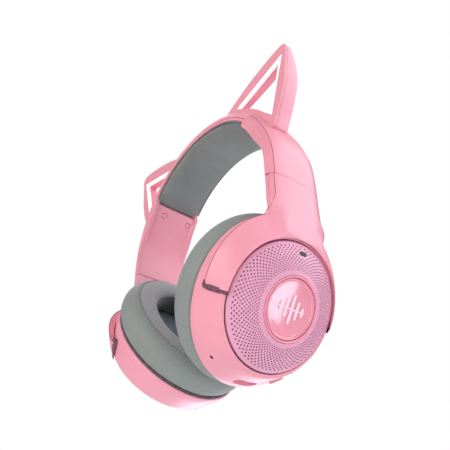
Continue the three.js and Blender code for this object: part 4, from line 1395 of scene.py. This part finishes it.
def yoke_outer(degrees):
    t = math.radians(degrees)
    r = YOKE_OUTER + YOKE_RISE * math.sin(max(0, min(t, math.pi)))
    from_end = min(degrees + YOKE_END, 180 + YOKE_END - degrees) * math.radians(1) * YOKE_OUTER
    missing = max(0.0, 1 - from_end / YOKE_CORNER)
    return r - YOKE_CORNER * (1 - math.sqrt(max(0.0, 1 - missing ** 2)))


def yoke_columns(rows, arm_rows, step):
    """Points (x, y, share of the way out, share of the way up the arm), column by column."""
    span = 180 + 2 * YOKE_END
    even = between(0, 1, round(span / step))
    ends = [0.002, 0.005, 0.009]
    shares = sorted({*even, *ends, *[1 - e for e in ends]})
    columns = []
    for share in shares:
        degrees = -YOKE_END + span * share
        t = math.radians(degrees)
        column = []
        for i in range(rows + 1):
            r = mix(YOKE_INNER, yoke_outer(degrees), i / rows)
            column.append((r * math.cos(t), r * math.sin(t), i / rows, 0.0))
        if YOKE_ARM_FROM - 0.1 <= degrees <= 180.1 - YOKE_ARM_FROM:
            foot_x, foot_y = column[-1][:2]
            across = math.cos(t) / math.cos(ARM_FOOT)
            for i in range(1, arm_rows + 1):
                s = i / arm_rows
                x = mix(foot_x, across * BAND_HALF, smooth(min(1, s * ARM_SPREAD)))
                column.append((x, mix(foot_y, ARM_TOP, s), 1.0, s))
        columns.append(column)
    return columns


def yoke_front(x, y, share, arm):
    across = min(1, abs(x) / (BAND_HALF + 2.5))
    on_arm = arm_depth(y, ARM_X)
    rim = mix(on_arm, max(YOKE_EDGE, on_arm), smooth(across ** 2))
    cone = mix(-YOKE_PROUD, rim, 0.8 * share + 0.2 * share ** 3)
    face = arm_depth(y, ARM_X - ARM_CROWN * min(1, abs(x) / BAND_HALF) ** 3.2)
    return max(mix(cone, face, smooth(arm * 3)), on_arm)


def tilt_room(y):
    """Room over the cup's shell, which swings outward below the hinge's line when the cup tilts."""
    return YOKE_GAP + TILT_RISE * max(0.0, TILT_ROOM_FROM - y)


def yoke_back(x, y, _, arm):
    on_arm = arm_depth(y, ARM_SHELL_X)
    if arm > 0:
        return on_arm
    shrink = 1 - CUP_GAP / math.hypot(x, y)
    on_cup = shell_depth(x * shrink, y * shrink)
    flat = min(YOKE_BACK, max(on_arm, YOKE_EDGE + 0.5))
    return flat if on_cup is None else min(flat, on_cup - tilt_room(y))


def yoke_end(way):
    """The sloped face under one end of the yoke, as a wedge over the cup's shell, dark as painted shade."""
    rows = []
    outer = yoke_outer(-YOKE_END / 2) - 0.2
    corners = [(1, 0), (-0.1, 0), (-YOKE_SLANT, 1), (1, 1)]
    for share in between(0, 1, 12):
        r = mix(YOKE_INNER + 0.1, outer, share)
        inset = YOKE_CORNER_TURN * max(0.0, (r - outer) / YOKE_CORNER + 1) ** 2
        points = []
        for degrees, drop in corners:
            t = math.radians(degrees - YOKE_END + inset)
            x, y = r * math.cos(t), r * math.sin(t)
            front = yoke_front(x, y, share, 0.0) + YOKE_THIN
            on_cup = shell_depth(x, y)
            back = YOKE_BACK if on_cup is None else min(YOKE_BACK, on_cup - tilt_room(y))
            points.append(Vector((way * x, y, -mix(front, max(back, front + 0.5), drop))))
        rows.append(points)
    return make("end", *loft(rows), CUP)


def arm_strip(y):
    """Share of the way up the arm, and half width of the strip's inner line, at a height."""
    s = max(0.0, (y - FOOT_Y) / (ARM_TOP - FOOT_Y))
    return s, mix(FOOT_X, STRIP_HALF, smooth(min(1, s * ARM_SPREAD)))


def yoke_seams():
    """Parting lines as dark cords of painted shade: under the yoke's outer edge and along the arm's edge strips.
    """
    made = []
    for start, end in ((1.5 - YOKE_END, YOKE_ARM_FROM), (180 - YOKE_ARM_FROM, 178.5 + YOKE_END)):
        path = []
        for degrees in between(start, end):
            p = round_point(yoke_outer(degrees), yoke_outer(degrees), math.radians(degrees), 0)
            path.append(Vector((p.x, p.y, -yoke_front(p.x, p.y, 1.0, 0.0) - YOKE_SEAM_SHADE_DROP)))
        made.append(make("seam_shade", *tube(path, YOKE_SEAM_SHADE_R), CUP))
    for side in (-1, 1):
        path = []
        for y in between(FOOT_Y, ARM_TOP - ARM_SPARE - YOKE_THIN):
            s, x = arm_strip(y)
            path.append(Vector((side * x, y, -yoke_front(x, y, 1.0, s))))
        made.append(make("seam_shade", *tube(path, CORD_R), CUP))
    return joined("left_yoke_seams", *made)


def on_arm_strip(middle):
    """True for the faces along the arm's two edges, darkened as painted shade."""
    at = CUP.inverted() @ (middle * MM)
    s, half = arm_strip(at.y)
    return s > 0 and abs(at.x) > half + 0.15


def yoke_solid(columns):
    """A closed solid between the yoke's front and back, over columns of points."""
    points = [p for column in columns for p in column]
    count = len(points)
    vertices = [(*p[:2], -min(yoke_front(*p), yoke_back(*p) - YOKE_THIN)) for p in points]
    vertices += [(*p[:2], -yoke_back(*p)) for p in points]
    numbers = []
    first = 0
    for column in columns:
        numbers.append(range(first, first + len(column)))
        first += len(column)
    faces = []
    for here, there in zip(numbers, numbers[1:]):
        for j in range(min(len(here), len(there)) - 1):
            faces.append((here[j], here[j + 1], there[j + 1], there[j]))
    border = {}
    for face in faces:
        for a, b in zip(face, face[1:] + face[:1]):
            if (b, a) in border:
                del border[(b, a)]
            else:
                border[(a, b)] = True
    faces += [tuple(i + count for i in reversed(face)) for face in faces]
    faces += [(b, a, a + count, b + count) for a, b in border]
    return vertices, faces


def yoke_shell():
    yoke = make("left_yoke_shell", *yoke_solid(yoke_columns(12, 22, 1.6)), CUP)
    above = linked("above", bpy.data.meshes.new("above"))
    box = bmesh.new()
    bmesh.ops.create_cube(box, size=CUT_BOX)
    box.to_mesh(above.data)
    box.free()
    above.data.transform(Matrix.Translation((ARM_X * MM, 0, ARM_TOP_Z * MM + CUT_BOX / 2)))
    # the arm's edge strips take the darker inner pink as painted shade
    return painted(bevelled(cut(yoke, above), 0.4, 50), "shell_pink", "inner_pink", on_arm_strip)


def yoke_inner_cover():
    """A plate with two round corners at its foot."""
    half, r = BAND_HALF - 0.15, YOKE_COVER_CORNER
    low = YOKE_COVER_BOTTOM + r
    outline = [(-half, ARM_TOP_Z), (-half, low)]
    for turn in between(math.radians(15), math.radians(90), 5):
        outline.append((-half + r * (1 - math.cos(turn)), low - r * math.sin(turn)))
    outline += [(-y, z) for y, z in reversed(outline)]
    rows = [[Vector((x, y, z)) for y, z in outline] for x in (COVER_R, ARM_SHELL_X - 0.05)]
    return bevelled(make("left_yoke_inner", *loft(rows)), 0.5)


def build_arms():
    both(yoke_shell(), "yoke_shell", "arm", "shell_pink", "yoke")
    # dark cords of painted shade under the yoke's edge and along the arm's strips
    both(yoke_seams(), "yoke_seams", "arm", "seam_shade")
    # dark wedges of painted shade under the yoke's ends
    both(joined("left_yoke_ends", yoke_end(-1), yoke_end(1)), "yoke_ends", "arm", "painted_shade")
    both(yoke_inner_cover(), "yoke_inner", "arm", "inner_pink", "yoke_cover")


# ---- what the CAD already shows right -----------------------------------------------------------


def dress_frame():
    """Gives every CAD node that still shows its slot's material and softened edges."""
    slot_of = {part["node"]: part["material_slot"] for part in frame["record"]["subparts"]}
    for name, obj in frame["nodes"].items():
        if obj.hide_render:
            continue
        obj.data.materials.clear()
        obj.data.materials.append(MATERIALS[slot_of[name]])
        modifier(obj, "Edges", "BEVEL", width=0.15 * MM, segments=2, limit_method="ANGLE",
                 angle_limit=math.radians(50))


# ---- stage --------------------------------------------------------------------------------------


def build_camera():
    data = bpy.data.cameras.new("camera")
    data.lens = CAMERA_LENS
    data.sensor_width = 36
    data.clip_start = 0.01
    camera = linked("camera", data)
    azimuth, elevation = math.radians(CAMERA_AZIMUTH), math.radians(CAMERA_ELEVATION)
    back = Vector((math.sin(azimuth) * math.cos(elevation),
                   -math.cos(azimuth) * math.cos(elevation), math.sin(elevation)))
    camera.location = CAMERA_AT
    camera.rotation_mode = "QUATERNION"
    camera.rotation_quaternion = (-back).to_track_quat("-Z", "Y")
    bpy.context.scene.camera = camera


def area_light(name, at, size, power, colour):
    data = bpy.data.lights.new(name, "AREA")
    data.shape = "RECTANGLE"
    data.size, data.size_y = size
    data.energy = power
    data.color = colour
    light = linked(name, data)
    light.location = at
    target = (CAD_BOX[0] + CAD_BOX[1]) / 2
    light.rotation_mode = "QUATERNION"
    light.rotation_quaternion = (target - light.location).to_track_quat("-Z", "Y")


def build_world():
    """White to the camera, and a soft light on the object that is stronger from above."""
    world = bpy.data.worlds.new("studio")
    world.use_nodes = True
    bpy.context.scene.world = world
    tree = world.node_tree
    seen = tree.nodes["Background"]
    seen.inputs["Color"].default_value = (1, 1, 1, 1)
    lit = tree.nodes.new("ShaderNodeBackground")
    height = tree.nodes.new("ShaderNodeSeparateXYZ")
    brightness = tree.nodes.new("ShaderNodeMapRange")
    for socket, value in zip(("From Min", "From Max", "To Min", "To Max"), (-1, 1, *WORLD_LIGHT)):
        brightness.inputs[socket].default_value = value
    tree.links.new(tree.nodes.new("ShaderNodeTexCoord").outputs["Generated"], height.inputs[0])
    tree.links.new(height.outputs["Z"], brightness.inputs["Value"])
    tree.links.new(brightness.outputs["Result"], lit.inputs["Strength"])
    path = tree.nodes.new("ShaderNodeLightPath")
    shader = tree.nodes.new("ShaderNodeMixShader")
    tree.links.new(path.outputs["Is Camera Ray"], shader.inputs["Fac"])
    tree.links.new(lit.outputs[0], shader.inputs[1])
    tree.links.new(seen.outputs[0], shader.inputs[2])
    tree.links.new(shader.outputs[0], tree.nodes["World Output"].inputs["Surface"])


def floor_material():
    """Pale, with a glow far from the object that only the camera sees and that hides the horizon."""
    n = Nodes("floor")
    away = n.add("ShaderNodeVectorMath", {0: n.place}, operation="LENGTH").outputs["Value"]
    seen = n.add("ShaderNodeLightPath").outputs["Is Camera Ray"]
    glow = n.math("MULTIPLY", n.spread(away, *GLOW_DISTANCE), seen)
    n.set(Base_Color=n.blend(n.noise(3.0), rgb(238, 238, 238), rgb(246, 246, 246)),
          Roughness=n.vary(40, 0.7, 0.85), Emission_Strength=GLOW,
          Emission_Color=n.blend(glow, rgb(0, 0, 0), rgb(255, 255, 255)))
    return n.material


def build_stage():
    bpy.context.scene.view_settings.view_transform = "Standard"
    build_world()
    for name, light in LIGHTS.items():
        area_light(name, *light)
    corners = [(-1, -1), (1, -1), (1, 1), (-1, 1)]
    floor = make("floor", [(x * FLOOR_HALF, y * FLOOR_HALF, 0) for x, y in corners], [(0, 1, 2, 3)])
    floor.location.z = CAD_BOX[0].z - FLOOR_DROP
    floor.data.materials.append(floor_material())


build_camera()
build_headband()
build_pad()
build_ears()
build_cups()
build_cushions()
build_arms()
dress_frame()
build_stage()
